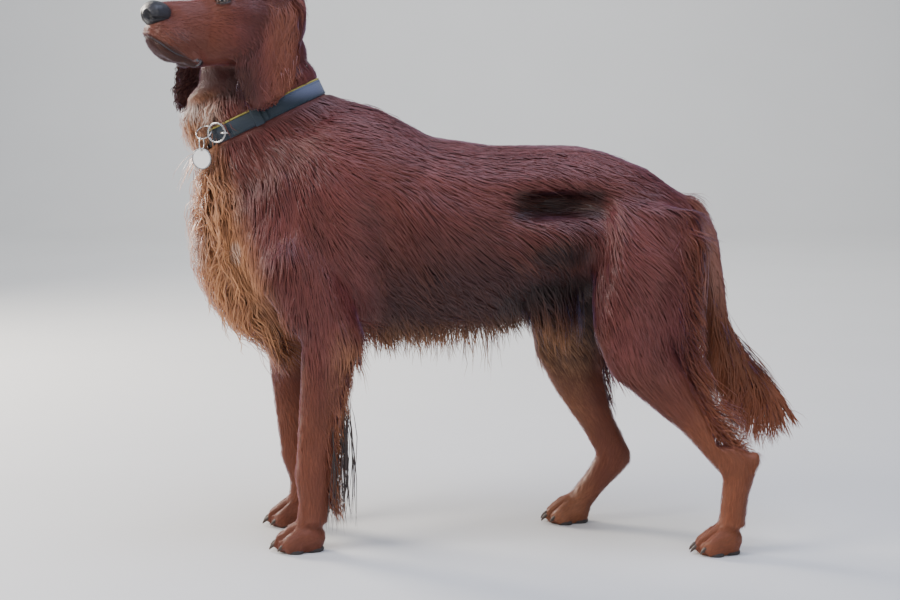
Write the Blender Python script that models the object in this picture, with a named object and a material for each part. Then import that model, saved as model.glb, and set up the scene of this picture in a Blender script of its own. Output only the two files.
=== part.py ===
"""A standing Irish setter as a still, life-size model.

Metres, +Z up. The dog faces -X, its left side is -Y, and the floor is z = 0. The solids give the outside
of the coat. The body is lofted whole from named stations, blended, and then parted with thin cuts.
"""

import math
from dataclasses import dataclass

import bmesh
import bpy
import numpy as np
from mathutils import Matrix, Vector

# --- driving dimensions -----------------------------------------------------------------------------
GAP = 0.0003  # clearance between neighbouring solids
SHARED_LIMIT = 1e-12  # cubic metres that two solids may share by rounding
BLEND_VOXEL = 0.0038  # grain at which the overlapping muscles are blended into one body
BLEND_PASSES = 5
BODY_TRIANGLES = 9000  # of the whole body before it is parted
KEPT_SHARE = 0.30  # of each part's triangles
KEPT_SHARES = {"head": 0.22, "forepaw": 0.25, "hindpaw": 0.24, "neck": 0.25}

HEAD_AT = (-0.235, -0.010, 0.815)  # where the skull meets the neck
HEAD_YAW = math.radians(30)  # turned to the dog's left
HEAD_PITCH = math.radians(2)  # nose up
HEAD_STRETCH = 0.965  # along the muzzle

EYE_RADIUS = 0.0115
EYE_AT = (-0.1395, 0.0275, 0.0245)
EYE_OPENING = (0.0115, 0.0080)  # half length and half height between the lids

COLLAR_BACK = (-0.200, 0.716)  # x, z of the collar at the nape
COLLAR_FRONT = (-0.378, 0.632)  # x, z of the collar at the throat
COLLAR_HALF_WIDTH = 0.068
COLLAR_DEPTH = 0.025  # height of the strap
COLLAR_THICK = 0.004
RING_RADIUS = 0.0145
TAG_RADIUS = 0.0165
TAG_THICK = 0.0025

COAT = (0.28, 0.075, 0.035, 1.0)
LIGHT_COAT = (0.48, 0.20, 0.085, 1.0)
BLACK = (0.02, 0.019, 0.022, 1.0)
TEAL = (0.012, 0.055, 0.075, 1.0)
STEEL = (0.65, 0.65, 0.66, 1.0)
IVORY = (0.86, 0.86, 0.83, 1.0)

LEFT, RIGHT = -1, 1
SIDES = {"l": LEFT, "r": RIGHT}


@dataclass(frozen=True)
class Station:
    """One cross-section of a loft: its centre, its reach up and down in the plane of section, and its half width."""

    x: float
    y: float
    z: float
    up: float
    down: float
    wide: float

    def moved(self, dx=0.0, dy=0.0, grow=0.0):
        return Station(self.x + dx, self.y + dy, self.z, self.up + grow, self.down + grow, self.wide + grow)


# --- small tools ------------------------------------------------------------------------------------
def clear_scene():
    for item in list(bpy.data.objects):
        bpy.data.objects.remove(item, do_unlink=True)


def material(name, colour, roughness=0.6, metallic=0.0):
    found = bpy.data.materials.get(name)
    if found:
        return found
    made = bpy.data.materials.new(name)
    made.use_nodes = True
    shader = made.node_tree.nodes["Principled BSDF"]
    shader.inputs["Base Color"].default_value = colour
    shader.inputs["Roughness"].default_value = roughness
    shader.inputs["Metallic"].default_value = metallic
    return made


def object_from(name, bm):
    """Closes the bmesh as a new object, faces outwards."""
    bmesh.ops.recalc_face_normals(bm, faces=bm.faces)
    mesh = bpy.data.meshes.new(name)
    bm.to_mesh(mesh)
    bm.free()
    made = bpy.data.objects.new(name, mesh)
    bpy.context.scene.collection.objects.link(made)
    return made


def smooth_rows(rows, steps):
    """Rows of numbers joined by a Catmull-Rom curve, with `steps` rows for each interval."""
    rows = np.asarray(rows, float)
    ends = np.vstack([2 * rows[0] - rows[1], rows, 2 * rows[-1] - rows[-2]])
    found = []
    for i in range(1, len(ends) - 2):
        p0, p1, p2, p3 = ends[i - 1 : i + 3]
        for t in np.arange(steps) / steps:
            found.append(
                0.5 * (2 * p1 + (p2 - p0) * t + (2 * p0 - 5 * p1 + 4 * p2 - p3) * t**2
                       + (3 * p1 - p0 - 3 * p2 + p3) * t**3)
            )
    found.append(rows[-1])
    return np.array(found)


def rounded(angle, power):
    """(cos, sin) of a superellipse: 2 is an ellipse and more is squarer."""
    c, s = math.cos(angle), math.sin(angle)
    return (math.copysign(abs(c) ** (2 / power), c), math.copysign(abs(s) ** (2 / power), s))


def loft(name, stations, upright=False, sides=28, steps=4, power=2.15, turn=0.0):
    """A closed skin through the stations. Upright sections stay square to X, others to the path.

    The turn swings the wide side of the sections away from Y, about Z.
    """
    sideways = Vector((-math.sin(turn), math.cos(turn), 0))
    rows = smooth_rows([(s.x, s.y, s.z, s.up, s.down, s.wide) for s in stations], steps)
    centres = rows[:, :3]
    tangents = np.gradient(centres, axis=0)
    bm = bmesh.new()
    rings = []
    for centre, tangent, (up, down, wide) in zip(centres, tangents, rows[:, 3:]):
        along = Vector((1, 0, 0)) if upright else Vector(tangent).normalized()
        lift = along.cross(sideways).normalized()
        across = along.cross(lift).normalized()
        ring = []
        for k in range(sides):
            c, s = rounded(2 * math.pi * k / sides, power)
            reach = max(up if c > 0 else down, 0.0005)
            ring.append(bm.verts.new(Vector(centre) + lift * c * reach + across * s * max(wide, 0.0005)))
        rings.append(ring)
    for a, b in zip(rings, rings[1:]):
        for k in range(sides):
            n = (k + 1) % sides
            bm.faces.new((a[k], a[n], b[n], b[k]))
    bm.faces.new(rings[0])
    bm.faces.new(rings[-1])
    return object_from(name, bm)


def blob(name, centre, radii, turn=(0, 0, 0), detail=3):
    """An ellipsoid, turned by Euler angles in degrees."""
    bm = bmesh.new()
    turned = Matrix.Rotation(math.radians(turn[2]), 4, "Z") @ Matrix.Rotation(math.radians(turn[1]), 4, "Y")
    turned = turned @ Matrix.Rotation(math.radians(turn[0]), 4, "X")
    place = Matrix.Translation(centre) @ turned @ Matrix.Diagonal((*radii, 1))
    bmesh.ops.create_icosphere(bm, subdivisions=detail, radius=1, matrix=place)
    return object_from(name, bm)


def block(name, low, high, place=Matrix.Identity(4)):
    """A box between two corners, then placed by a matrix."""
    bm = bmesh.new()
    low, high = Vector(low), Vector(high)
    size = Matrix.Diagonal((*(high - low), 1))
    bmesh.ops.create_cube(bm, size=1, matrix=place @ Matrix.Translation((low + high) / 2) @ size)
    return object_from(name, bm)


def baked(obj):
    """Replaces an object's mesh by what its modifiers make of it."""
    graph = bpy.context.evaluated_depsgraph_get()
    mesh = bpy.data.meshes.new_from_object(obj.evaluated_get(graph))
    obj.modifiers.clear()
    obj.data = mesh
    return obj


def joined(name, parts):
    """One object that holds the shells of all the parts."""
    bm = bmesh.new()
    for part in parts:
        part.data.transform(part.matrix_world)
        bm.from_mesh(part.data)
        bpy.data.objects.remove(part, do_unlink=True)
    return object_from(name, bm)


def copy_of(obj, name, grow=0.0):
    """A copy of the object, pushed out along its normals by `grow`."""
    made = bpy.data.objects.new(name, obj.data.copy())
    bpy.context.scene.collection.objects.link(made)
    if grow:
        push = made.modifiers.new("push", "DISPLACE")
        push.strength = grow
        push.mid_level = 0
        baked(made)
    return made


def combine(obj, other, operation="DIFFERENCE", keep_other=False):
    """Boolean of obj with other, applied. The other object goes unless it is kept."""
    step = obj.modifiers.new("combine", "BOOLEAN")
    step.operation = operation
    step.solver = "EXACT"
    step.object = other
    baked(obj)
    if not keep_other:
        bpy.data.objects.remove(other, do_unlink=True)
    return obj


def largest_island(obj):
    """Drops crumbs that a cut leaves beside the main body."""
    bm = bmesh.new()
    bm.from_mesh(obj.data)
    bmesh.ops.remove_doubles(bm, verts=bm.verts, dist=1e-6)
    islands, seen = [], set()
    for start in bm.verts:
        if start in seen:
            continue
        island, front = [], [start]
        seen.add(start)
        while front:
            vertex = front.pop()
            island.append(vertex)
            for edge in vertex.link_edges:
                other = edge.other_vert(vertex)
                if other not in seen:
                    seen.add(other)
                    front.append(other)
        islands.append(island)
    islands.sort(key=len, reverse=True)
    for island in islands[1:]:
        bmesh.ops.delete(bm, geom=island, context="VERTS")
    bm.to_mesh(obj.data)
    bm.free()
    return obj


def thinned(obj, share=None):
    """The same shape from fewer triangles; what stood on the floor still does."""
    thin = obj.modifiers.new("thin", "DECIMATE")
    thin.ratio = share or KEPT_SHARE
    thin.use_collapse_triangulate = True
    baked(obj)
    for vertex in obj.data.vertices:
        if abs(vertex.co.z) < 0.0005:
            vertex.co.z = 0
    return obj


def take(rest, name, make_cell):
    """Parts one named piece from the rest. make_cell(grow) gives the cell that holds the piece."""
    piece = copy_of(rest, name)
    combine(piece, make_cell(-GAP / 2), "INTERSECT")
    combine(rest, make_cell(GAP / 2))
    return largest_island(piece)


def box_of(obj):
    points = np.array([v.co[:] for v in obj.data.vertices])
    return points.min(axis=0), points.max(axis=0)


def shared_volume(obj, other):
    """Volume in both bodies."""
    (low, high), (other_low, other_high) = box_of(obj), box_of(other)
    if (low > other_high).any() or (other_low > high).any():
        return 0.0
    both = combine(copy_of(obj, "both"), other, "INTERSECT", keep_other=True)
    bm = bmesh.new()
    bm.from_mesh(both.data)
    volume = abs(bm.calc_volume())
    bm.free()
    bpy.data.objects.remove(both, do_unlink=True)
    return volume


def trim_apart(pieces, cells):
    """Cuts anew along its cell where thinning has pushed a piece across into a later one."""
    names = list(pieces)
    for i, name in enumerate(names):
        for later in names[i + 1 :]:
            if name in cells and shared_volume(pieces[name], pieces[later]) > SHARED_LIMIT:
                combine(pieces[later], cells[name](GAP / 2))
                combine(pieces[name], cells[name](-GAP / 2), "INTERSECT")
                largest_island(pieces[later])
                largest_island(pieces[name])


def half_space(first, second, forward):
    """Cell maker: all that lies in front of the plane through two (x, z) points, seen from the side."""
    a, b = Vector((first[0], 0, first[1])), Vector((second[0], 0, second[1]))
    along = (b - a).normalized()
    normal = along.cross(Vector((0, 1, 0)))
    if normal.dot(Vector(forward)) < 0:
        normal.negate()
    across = normal.cross(along)
    turn = Matrix((along, across, normal)).transposed().to_4x4()
    reach = 1.5

    def cell(grow):
        place = Matrix.Translation(a) @ turn
        return block("cell", (-reach, -reach, -grow), (reach, reach, reach), place)

    return cell


# --- the body ---------------------------------------------------------------------------------------
TRUNK = [  # x, top, bottom, half width
    (-0.352, 0.530, 0.480, 0.020),
    (-0.338, 0.580, 0.425, 0.070),
    (-0.305, 0.625, 0.375, 0.093),
    (-0.250, 0.668, 0.345, 0.106),
    (-0.180, 0.700, 0.338, 0.113),
    (-0.100, 0.677, 0.338, 0.115),
    (-0.030, 0.641, 0.342, 0.117),
    (0.050, 0.629, 0.350, 0.116),
    (0.120, 0.626, 0.366, 0.107),
    (0.180, 0.626, 0.388, 0.096),
    (0.240, 0.617, 0.415, 0.090),
    (0.300, 0.593, 0.440, 0.088),
    (0.345, 0.562, 0.462, 0.074),
    (0.378, 0.535, 0.478, 0.052),
    (0.398, 0.512, 0.490, 0.018),
]
TRUNK_WIDEST = 0.56  # height of the widest line, as a share of the way from bottom to top

NECK = [
    Station(-0.195, 0.000, 0.535, 0.146, 0.140, 0.092),
    Station(-0.240, 0.000, 0.605, 0.160, 0.118, 0.082),
    Station(-0.283, 0.000, 0.672, 0.103, 0.098, 0.071),
    Station(-0.290, -0.005, 0.735, 0.098, 0.082, 0.064),
    Station(-0.285, -0.010, 0.790, 0.082, 0.062, 0.058),
    Station(-0.278, -0.014, 0.830, 0.054, 0.040, 0.046),
    Station(-0.275, -0.018, 0.854, 0.034, 0.024, 0.026),
    Station(-0.273, -0.020, 0.864, 0.012, 0.010, 0.010),
]

HEAD = [  # x, top, bottom, half width, in the head's own frame
    (-0.2565, 0.008, -0.020, 0.008),
    (-0.251, 0.018, -0.042, 0.019),
    (-0.239, 0.0215, -0.058, 0.0255),
    (-0.215, 0.0235, -0.065, 0.0285),
    (-0.190, 0.0250, -0.070, 0.0310),
    (-0.168, 0.0290, -0.074, 0.0345),
    (-0.150, 0.0400, -0.072, 0.0400),
    (-0.130, 0.0530, -0.070, 0.0470),
    (-0.100, 0.0610, -0.070, 0.0560),
    (-0.065, 0.0650, -0.070, 0.0600),
    (-0.032, 0.0645, -0.064, 0.0580),
    (-0.009, 0.0560, -0.048, 0.0480),
    (0.004, 0.0330, -0.020, 0.0260),
]
HEAD_WIDEST = 0.50

HEAD_PLACE = (
    Matrix.Translation(HEAD_AT)
    @ Matrix.Rotation(HEAD_YAW, 4, "Z")
    @ Matrix.Rotation(HEAD_PITCH, 4, "Y")
    @ Matrix.Diagonal((HEAD_STRETCH, 1, 1, 1))
)

FORELEG = [  # the near (left) foreleg, from the point of shoulder down
    Station(-0.262, 0.086, 0.470, 0.062, 0.055, 0.036),
    Station(-0.215, 0.092, 0.400, 0.060, 0.056, 0.036),
    Station(-0.184, 0.092, 0.345, 0.047, 0.046, 0.033),
    Station(-0.193, 0.090, 0.295, 0.041, 0.037, 0.030),
    Station(-0.203, 0.087, 0.225, 0.033, 0.031, 0.0265),
    Station(-0.211, 0.084, 0.150, 0.028, 0.027, 0.0250),
    Station(-0.214, 0.083, 0.118, 0.027, 0.029, 0.0255),
    Station(-0.212, 0.082, 0.080, 0.024, 0.024, 0.0230),
    Station(-0.214, 0.082, 0.045, 0.025, 0.024, 0.0245),
]
FORELEG_LEAD = {"l": (0.0, 0.0), "r": (-0.026, -0.066)}  # how far ahead each stands, at the wrist and the elbow

HINDLEG = {
    "l": [  # set back, hock above and behind the stifle
        Station(0.300, 0.056, 0.530, 0.080, 0.085, 0.046),
        Station(0.298, 0.078, 0.455, 0.090, 0.084, 0.049),
        Station(0.292, 0.090, 0.385, 0.080, 0.082, 0.046),
        Station(0.290, 0.097, 0.320, 0.062, 0.060, 0.041),
        Station(0.326, 0.100, 0.264, 0.042, 0.040, 0.034),
        Station(0.374, 0.100, 0.208, 0.028, 0.026, 0.0270),
        Station(0.418, 0.100, 0.160, 0.023, 0.026, 0.0240),
        Station(0.444, 0.100, 0.132, 0.028, 0.028, 0.0235),
        Station(0.441, 0.100, 0.095, 0.021, 0.022, 0.0215),
        Station(0.436, 0.100, 0.045, 0.022, 0.022, 0.0235),
    ],
    "r": [  # under the body, hock low
        Station(0.290, 0.056, 0.530, 0.080, 0.085, 0.046),
        Station(0.262, 0.078, 0.455, 0.090, 0.086, 0.049),
        Station(0.225, 0.090, 0.385, 0.078, 0.084, 0.046),
        Station(0.196, 0.097, 0.315, 0.062, 0.066, 0.041),
        Station(0.205, 0.099, 0.250, 0.045, 0.046, 0.033),
        Station(0.236, 0.100, 0.185, 0.030, 0.033, 0.0270),
        Station(0.262, 0.100, 0.132, 0.026, 0.028, 0.0240),
        Station(0.263, 0.100, 0.103, 0.028, 0.026, 0.0235),
        Station(0.240, 0.100, 0.070, 0.021, 0.022, 0.0215),
        Station(0.215, 0.100, 0.040, 0.022, 0.022, 0.0235),
    ],
}

TAIL = [
    Station(0.350, 0.000, 0.535, 0.030, 0.030, 0.026),
    Station(0.385, 0.000, 0.505, 0.026, 0.028, 0.024),
    Station(0.406, 0.000, 0.455, 0.020, 0.024, 0.020),
    Station(0.418, 0.002, 0.400, 0.016, 0.018, 0.016),
    Station(0.432, 0.004, 0.345, 0.013, 0.014, 0.013),
    Station(0.458, 0.006, 0.296, 0.011, 0.012, 0.011),
    Station(0.492, 0.008, 0.258, 0.009, 0.010, 0.009),
    Station(0.522, 0.010, 0.226, 0.007, 0.008, 0.007),
    Station(0.538, 0.011, 0.200, 0.004, 0.004, 0.004),
]

FEATHERS = {  # long hair, lofted down its length; each side's own where there are two
    "bib": [
        Station(-0.364, 0.000, 0.655, 0.020, 0.020, 0.030),
        Station(-0.370, 0.000, 0.610, 0.032, 0.020, 0.046),
        Station(-0.368, 0.000, 0.550, 0.044, 0.031, 0.064),
        Station(-0.364, 0.000, 0.480, 0.050, 0.036, 0.072),
        Station(-0.341, 0.000, 0.415, 0.048, 0.038, 0.068),
        Station(-0.306, 0.000, 0.360, 0.036, 0.032, 0.054),
        Station(-0.282, 0.000, 0.326, 0.018, 0.016, 0.032),
        Station(-0.272, 0.000, 0.312, 0.006, 0.005, 0.014),
    ],
    "throat": [
        Station(-0.350, -0.008, 0.742, 0.018, 0.016, 0.030),
        Station(-0.362, -0.008, 0.716, 0.026, 0.022, 0.038),
        Station(-0.378, -0.008, 0.688, 0.030, 0.030, 0.038),
        Station(-0.392, -0.008, 0.664, 0.026, 0.024, 0.030),
        Station(-0.400, -0.008, 0.650, 0.012, 0.012, 0.014),
    ],
    "belly": [
        Station(-0.170, 0.000, 0.352, 0.018, 0.018, 0.020),
        Station(-0.125, 0.000, 0.338, 0.030, 0.036, 0.036),
        Station(-0.060, 0.000, 0.335, 0.030, 0.040, 0.042),
        Station(0.000, 0.000, 0.338, 0.030, 0.040, 0.040),
        Station(0.050, 0.000, 0.348, 0.030, 0.037, 0.036),
        Station(0.095, 0.000, 0.362, 0.028, 0.036, 0.030),
        Station(0.130, 0.000, 0.378, 0.018, 0.022, 0.018),
    ],
    "foreleg": [
        Station(-0.162, 0.090, 0.320, 0.018, 0.014, 0.014),
        Station(-0.162, 0.089, 0.270, 0.018, 0.016, 0.013),
        Station(-0.168, 0.087, 0.215, 0.017, 0.016, 0.011),
        Station(-0.173, 0.085, 0.160, 0.014, 0.015, 0.009),
        Station(-0.175, 0.084, 0.110, 0.013, 0.014, 0.008),
        Station(-0.173, 0.083, 0.065, 0.012, 0.012, 0.007),
        Station(-0.171, 0.083, 0.038, 0.006, 0.006, 0.005),
    ],
    "thigh_l": [
        Station(0.366, 0.066, 0.480, 0.022, 0.020, 0.026),
        Station(0.374, 0.076, 0.420, 0.024, 0.024, 0.026),
        Station(0.372, 0.084, 0.350, 0.026, 0.024, 0.023),
        Station(0.374, 0.090, 0.285, 0.024, 0.020, 0.019),
        Station(0.390, 0.094, 0.232, 0.016, 0.014, 0.014),
        Station(0.400, 0.096, 0.196, 0.006, 0.006, 0.007),
    ],
    "thigh_r": [
        Station(0.352, 0.066, 0.480, 0.024, 0.020, 0.026),
        Station(0.330, 0.076, 0.420, 0.026, 0.026, 0.026),
        Station(0.298, 0.084, 0.350, 0.026, 0.026, 0.023),
        Station(0.268, 0.090, 0.285, 0.022, 0.022, 0.019),
        Station(0.262, 0.094, 0.230, 0.017, 0.018, 0.014),
        Station(0.266, 0.096, 0.186, 0.008, 0.008, 0.007),
    ],
    "tail": [
        Station(0.398, 0.000, 0.478, 0.010, 0.012, 0.012),
        Station(0.404, 0.001, 0.415, 0.018, 0.018, 0.013),
        Station(0.414, 0.002, 0.345, 0.028, 0.028, 0.013),
        Station(0.438, 0.004, 0.280, 0.038, 0.044, 0.012),
        Station(0.476, 0.006, 0.222, 0.050, 0.056, 0.011),
        Station(0.506, 0.008, 0.176, 0.050, 0.052, 0.009),
        Station(0.518, 0.009, 0.148, 0.030, 0.030, 0.007),
    ],
}
EARS = {  # each ear's flap, from its root down to its tip, and the turn of its flat side
    "l": (
        math.radians(14),
        [
            Station(-0.258, -0.070, 0.862, 0.014, 0.020, 0.007),
            Station(-0.256, -0.080, 0.846, 0.027, 0.031, 0.010),
            Station(-0.262, -0.089, 0.815, 0.039, 0.042, 0.010),
            Station(-0.270, -0.091, 0.770, 0.048, 0.050, 0.010),
            Station(-0.279, -0.089, 0.730, 0.047, 0.048, 0.010),
            Station(-0.287, -0.087, 0.700, 0.034, 0.036, 0.008),
            Station(-0.292, -0.086, 0.681, 0.013, 0.014, 0.006),
        ],
    ),
    "r": (
        math.radians(36),
        [
            Station(-0.314, 0.006, 0.862, 0.014, 0.020, 0.007),
            Station(-0.320, 0.020, 0.846, 0.027, 0.031, 0.010),
            Station(-0.338, 0.032, 0.815, 0.039, 0.042, 0.010),
            Station(-0.364, 0.036, 0.772, 0.047, 0.050, 0.010),
            Station(-0.390, 0.033, 0.732, 0.046, 0.048, 0.010),
            Station(-0.408, 0.028, 0.702, 0.034, 0.036, 0.008),
            Station(-0.416, 0.025, 0.683, 0.013, 0.014, 0.006),
        ],
    ),
}

PAW_TOES = [(-0.030, 0.0085, 0.0190), (-0.017, 0.0225, 0.0175)]  # ahead, aside, length of each toe pair
FOREPAW_SCALE = 1.0
HINDPAW_SCALE = 0.92


def from_profile(rows, widest):
    """Stations for upright sections, from (x, top, bottom, half width)."""
    made = []
    for x, top, bottom, wide in rows:
        centre = bottom + (top - bottom) * widest
        made.append(Station(x, 0, centre, top - centre, centre - bottom, wide))
    return made


def leg_stations(rows, side, grow=0.0):
    return [Station(s.x, s.y * side, s.z, s.up + grow, s.down + grow, s.wide + grow) for s in rows]


def lead(tag, z):
    """How far ahead of the left foreleg this one is at a height."""
    low, high = FORELEG_LEAD[tag]
    return low + (high - low) * min(max((z - 0.07) / 0.20, 0.0), 1.0)


def foreleg_stations(rows, tag):
    return [Station(s.x + lead(tag, s.z), s.y, s.z, s.up, s.down, s.wide) for s in leg_stations(rows, SIDES[tag])]


def paw(name, x, y, scale):
    """Pad and four toes, reaching a little below the floor so that the floor cut leaves flats."""
    parts = [blob(name, (x, y, 0.022), (0.034 * scale, 0.0265 * scale, 0.0255))]
    for ahead, aside, length in PAW_TOES:
        for side in (LEFT, RIGHT):
            centre = (x + ahead * scale, y + side * aside * scale, 0.0125)
            parts.append(blob(name, centre, (length * scale, 0.0105 * scale, 0.0165), (0, 12, -side * 14)))
            pad = (centre[0] + 0.004, centre[1], 0.0)
            parts.append(blob(name, pad, (0.0135 * scale, 0.009 * scale, 0.008)))
    parts.append(blob(name, (x + 0.012 * scale, y, 0.002), (0.0185 * scale, 0.019 * scale, 0.010)))
    return parts


def paw_places():
    """Name, x, y and scale of each paw, under the last station of its leg."""
    places = {}
    for tag, side in SIDES.items():
        fore, hind = FORELEG[-1], HINDLEG[tag][-1]
        places["forepaw_" + tag] = (fore.x + lead(tag, 0) - 0.012, fore.y * side, FOREPAW_SCALE)
        places["hindpaw_" + tag] = (hind.x - 0.014, hind.y * side, HINDPAW_SCALE)
    return places


def head_muscles():
    """Skull, muzzle, flews, brows and cheeks in the head's own frame, then placed."""
    parts = [loft("skull", from_profile(HEAD, HEAD_WIDEST), upright=True, power=2.35)]
    for side in (LEFT, RIGHT):
        parts.append(blob("flew", (-0.210, side * 0.0155, -0.036), (0.040, 0.0165, 0.033), (0, 10, side * 4)))
        parts.append(blob("lip_corner", (-0.184, side * 0.020, -0.058), (0.022, 0.0115, 0.017), (0, 20, 0)))
        parts.append(blob("brow", (-0.134, side * 0.0215, 0.0365), (0.024, 0.0155, 0.0125), (0, -34, side * 14)))
        parts.append(blob("cheek", (-0.098, side * 0.034, -0.022), (0.042, 0.022, 0.038), (0, 8, 0)))
        parts.append(blob("ear_root", (-0.052, side * 0.048, 0.026), (0.030, 0.014, 0.020), (0, 15, 0)))
    parts.append(blob("occiput", (-0.011, 0, 0.046), (0.016, 0.012, 0.014)))
    for part in parts:
        part.data.transform(HEAD_PLACE)
    return parts


def body_muscles():
    parts = [
        loft("trunk", from_profile(TRUNK, TRUNK_WIDEST), upright=True),
        loft("neck", NECK),
        loft("tail", TAIL, sides=14),
        loft("bib", FEATHERS["bib"], sides=20),
        loft("throat", FEATHERS["throat"], sides=16),
        loft("belly", FEATHERS["belly"], sides=16),
        loft("tail_hair", FEATHERS["tail"], sides=20),
    ]
    for tag, side in SIDES.items():
        high, wrist = lead(tag, 0.3), lead(tag, 0.12)
        parts.append(loft("foreleg", foreleg_stations(FORELEG, tag), sides=20))
        parts.append(loft("hindleg", leg_stations(HINDLEG[tag], side), sides=20))
        parts.append(loft("foreleg_hair", foreleg_stations(FEATHERS["foreleg"], tag), sides=14))
        parts.append(loft("thigh_hair", leg_stations(FEATHERS["thigh_" + tag], side), sides=14))
        parts.append(blob("shoulder_blade", (-0.165, side * 0.062, 0.555), (0.062, 0.036, 0.105), (0, 28, 0)))
        parts.append(blob("shoulder_point", (-0.270 + high / 8, side * 0.070, 0.465), (0.052, 0.040, 0.055)))
        parts.append(blob("elbow", (-0.156 + high, side * 0.093, 0.325), (0.020, 0.024, 0.026), (0, 20, 0)))
        parts.append(blob("wrist", (-0.209 + wrist, side * 0.083, 0.120), (0.027, 0.0255, 0.024)))
    hocks = {"l": (0.466, 0.146), "r": (0.285, 0.108)}
    for tag, (x, z) in hocks.items():
        parts.append(blob("hock_point", (x, SIDES[tag] * 0.100, z), (0.015, 0.014, 0.021), (0, 18, 0)))
    for name, (x, y, scale) in paw_places().items():
        parts += paw(name, x, y, scale)
    return parts


# place, radii and height of each swelling (or, below zero, hollow) that is pressed into the blended body
MODELLING = [
    ("hollow of the flank", (0.160, 0.095, 0.535), (0.095, 0.06, 0.034), -0.016),
    ("fold of the flank", (0.150, 0.095, 0.470), (0.085, 0.06, 0.040), 0.012),
    ("behind the shoulder", (-0.085, 0.110, 0.470), (0.035, 0.05, 0.110), -0.009),
    ("under the blade", (-0.185, 0.110, 0.505), (0.022, 0.04, 0.060), -0.006),
    ("ahead of the thigh", (0.215, 0.100, 0.420), (0.024, 0.05, 0.080), -0.008),
    ("spring of rib", (0.000, 0.110, 0.470), (0.110, 0.06, 0.100), 0.005),
    ("side of the throat", (-0.300, 0.075, 0.560), (0.050, 0.05, 0.070), -0.007),
]


def press(obj, centre, radii, height):
    """Moves the surface in and out along its normals, most at the centre and none past the radii."""
    count = len(obj.data.vertices)
    points, normals = np.empty(count * 3), np.empty(count * 3)
    obj.data.vertices.foreach_get("co", points)
    obj.data.vertices.foreach_get("normal", normals)
    points, normals = points.reshape(-1, 3), normals.reshape(-1, 3)
    reach = (((points - np.array(centre)) / np.array(radii)) ** 2).sum(axis=1)
    share = np.clip(1 - reach, 0, 1) ** 2
    obj.data.vertices.foreach_set("co", (points + normals * (share * height)[:, None]).ravel())
    obj.data.update()


def blended(name, parts):
    """The parts as one closed body with soft joints."""
    body = joined(name, parts)
    remesh = body.modifiers.new("blend", "REMESH")
    remesh.mode = "VOXEL"
    remesh.voxel_size = BLEND_VOXEL
    smooth = body.modifiers.new("soften", "SMOOTH")
    smooth.factor = 0.6
    smooth.iterations = BLEND_PASSES
    return baked(body)


def coarse_share(obj):
    """Vertex group that lets the decimation go coarser on the trunk than on the head and paws."""
    group = obj.vertex_groups.new(name="coarse")
    centre = Vector(HEAD_PLACE @ Vector((-0.17, 0, -0.01)))
    for vertex in obj.data.vertices:
        on_head = (vertex.co - centre).length < 0.13
        on_paw = vertex.co.z < 0.05
        group.add([vertex.index], 0.93 if on_head else 0.93 if on_paw else 1.0, "REPLACE")
    return group


def whole_body():
    body = blended("body", body_muscles() + head_muscles())
    for _, centre, radii, height in MODELLING:
        for side in (LEFT, RIGHT):
            press(body, (centre[0], centre[1] * side, centre[2]), radii, height)
    coarse_share(body)
    thin = body.modifiers.new("thin", "DECIMATE")
    thin.ratio = BODY_TRIANGLES / (2 * len(body.data.polygons))
    thin.vertex_group = "coarse"
    thin.vertex_group_factor = 1.0
    thin.use_collapse_triangulate = True
    baked(body)
    body.vertex_groups.clear()
    return combine(body, block("floor", (-1, -1, -0.5), (1, 1, 0)))


# --- the collar and what hangs from it --------------------------------------------------------------
COLLAR_CENTRE = Vector(((COLLAR_BACK[0] + COLLAR_FRONT[0]) / 2, 0, (COLLAR_BACK[1] + COLLAR_FRONT[1]) / 2))
COLLAR_AXIS = Vector((COLLAR_FRONT[0] - COLLAR_BACK[0], 0, COLLAR_FRONT[1] - COLLAR_BACK[1]))
COLLAR_HALF_LENGTH = COLLAR_AXIS.length / 2
COLLAR_FORWARD = COLLAR_AXIS.normalized()
COLLAR_UP = Vector((0, 1, 0)).cross(COLLAR_FORWARD)
if COLLAR_UP.z < 0:
    COLLAR_UP.negate()
LOOP_TURN = math.radians(55)  # from the throat round to the dog's left


def collar_point(turn, out=0.0, rise=0.0):
    """A point of the collar: turned to the left from the throat, `out` from its middle line, `rise` up."""
    at = COLLAR_FORWARD * math.cos(turn) * (COLLAR_HALF_LENGTH + out)
    at += Vector((0, -1, 0)) * math.sin(turn) * (COLLAR_HALF_WIDTH + out)
    return COLLAR_CENTRE + at + COLLAR_UP * rise


def strap(name, grow=0.0, out_grow=0.0, segments=40):
    """The closed band of the collar, or the cutter of its groove."""
    bm = bmesh.new()
    inner, outer = -COLLAR_THICK / 2 - grow, COLLAR_THICK / 2 + grow + out_grow
    half = COLLAR_DEPTH / 2 + grow
    corners = [(inner, -half), (outer, -half), (outer, half), (inner, half)]
    rings = []
    for k in range(segments):
        turn = 2 * math.pi * k / segments
        rings.append([bm.verts.new(collar_point(turn, out, rise)) for out, rise in corners])
    for a, b in zip(rings, rings[1:] + rings[:1]):
        for k in range(4):
            n = (k + 1) % 4
            bm.faces.new((a[k], a[n], b[n], b[k]))
    return object_from(name, bm)


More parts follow.
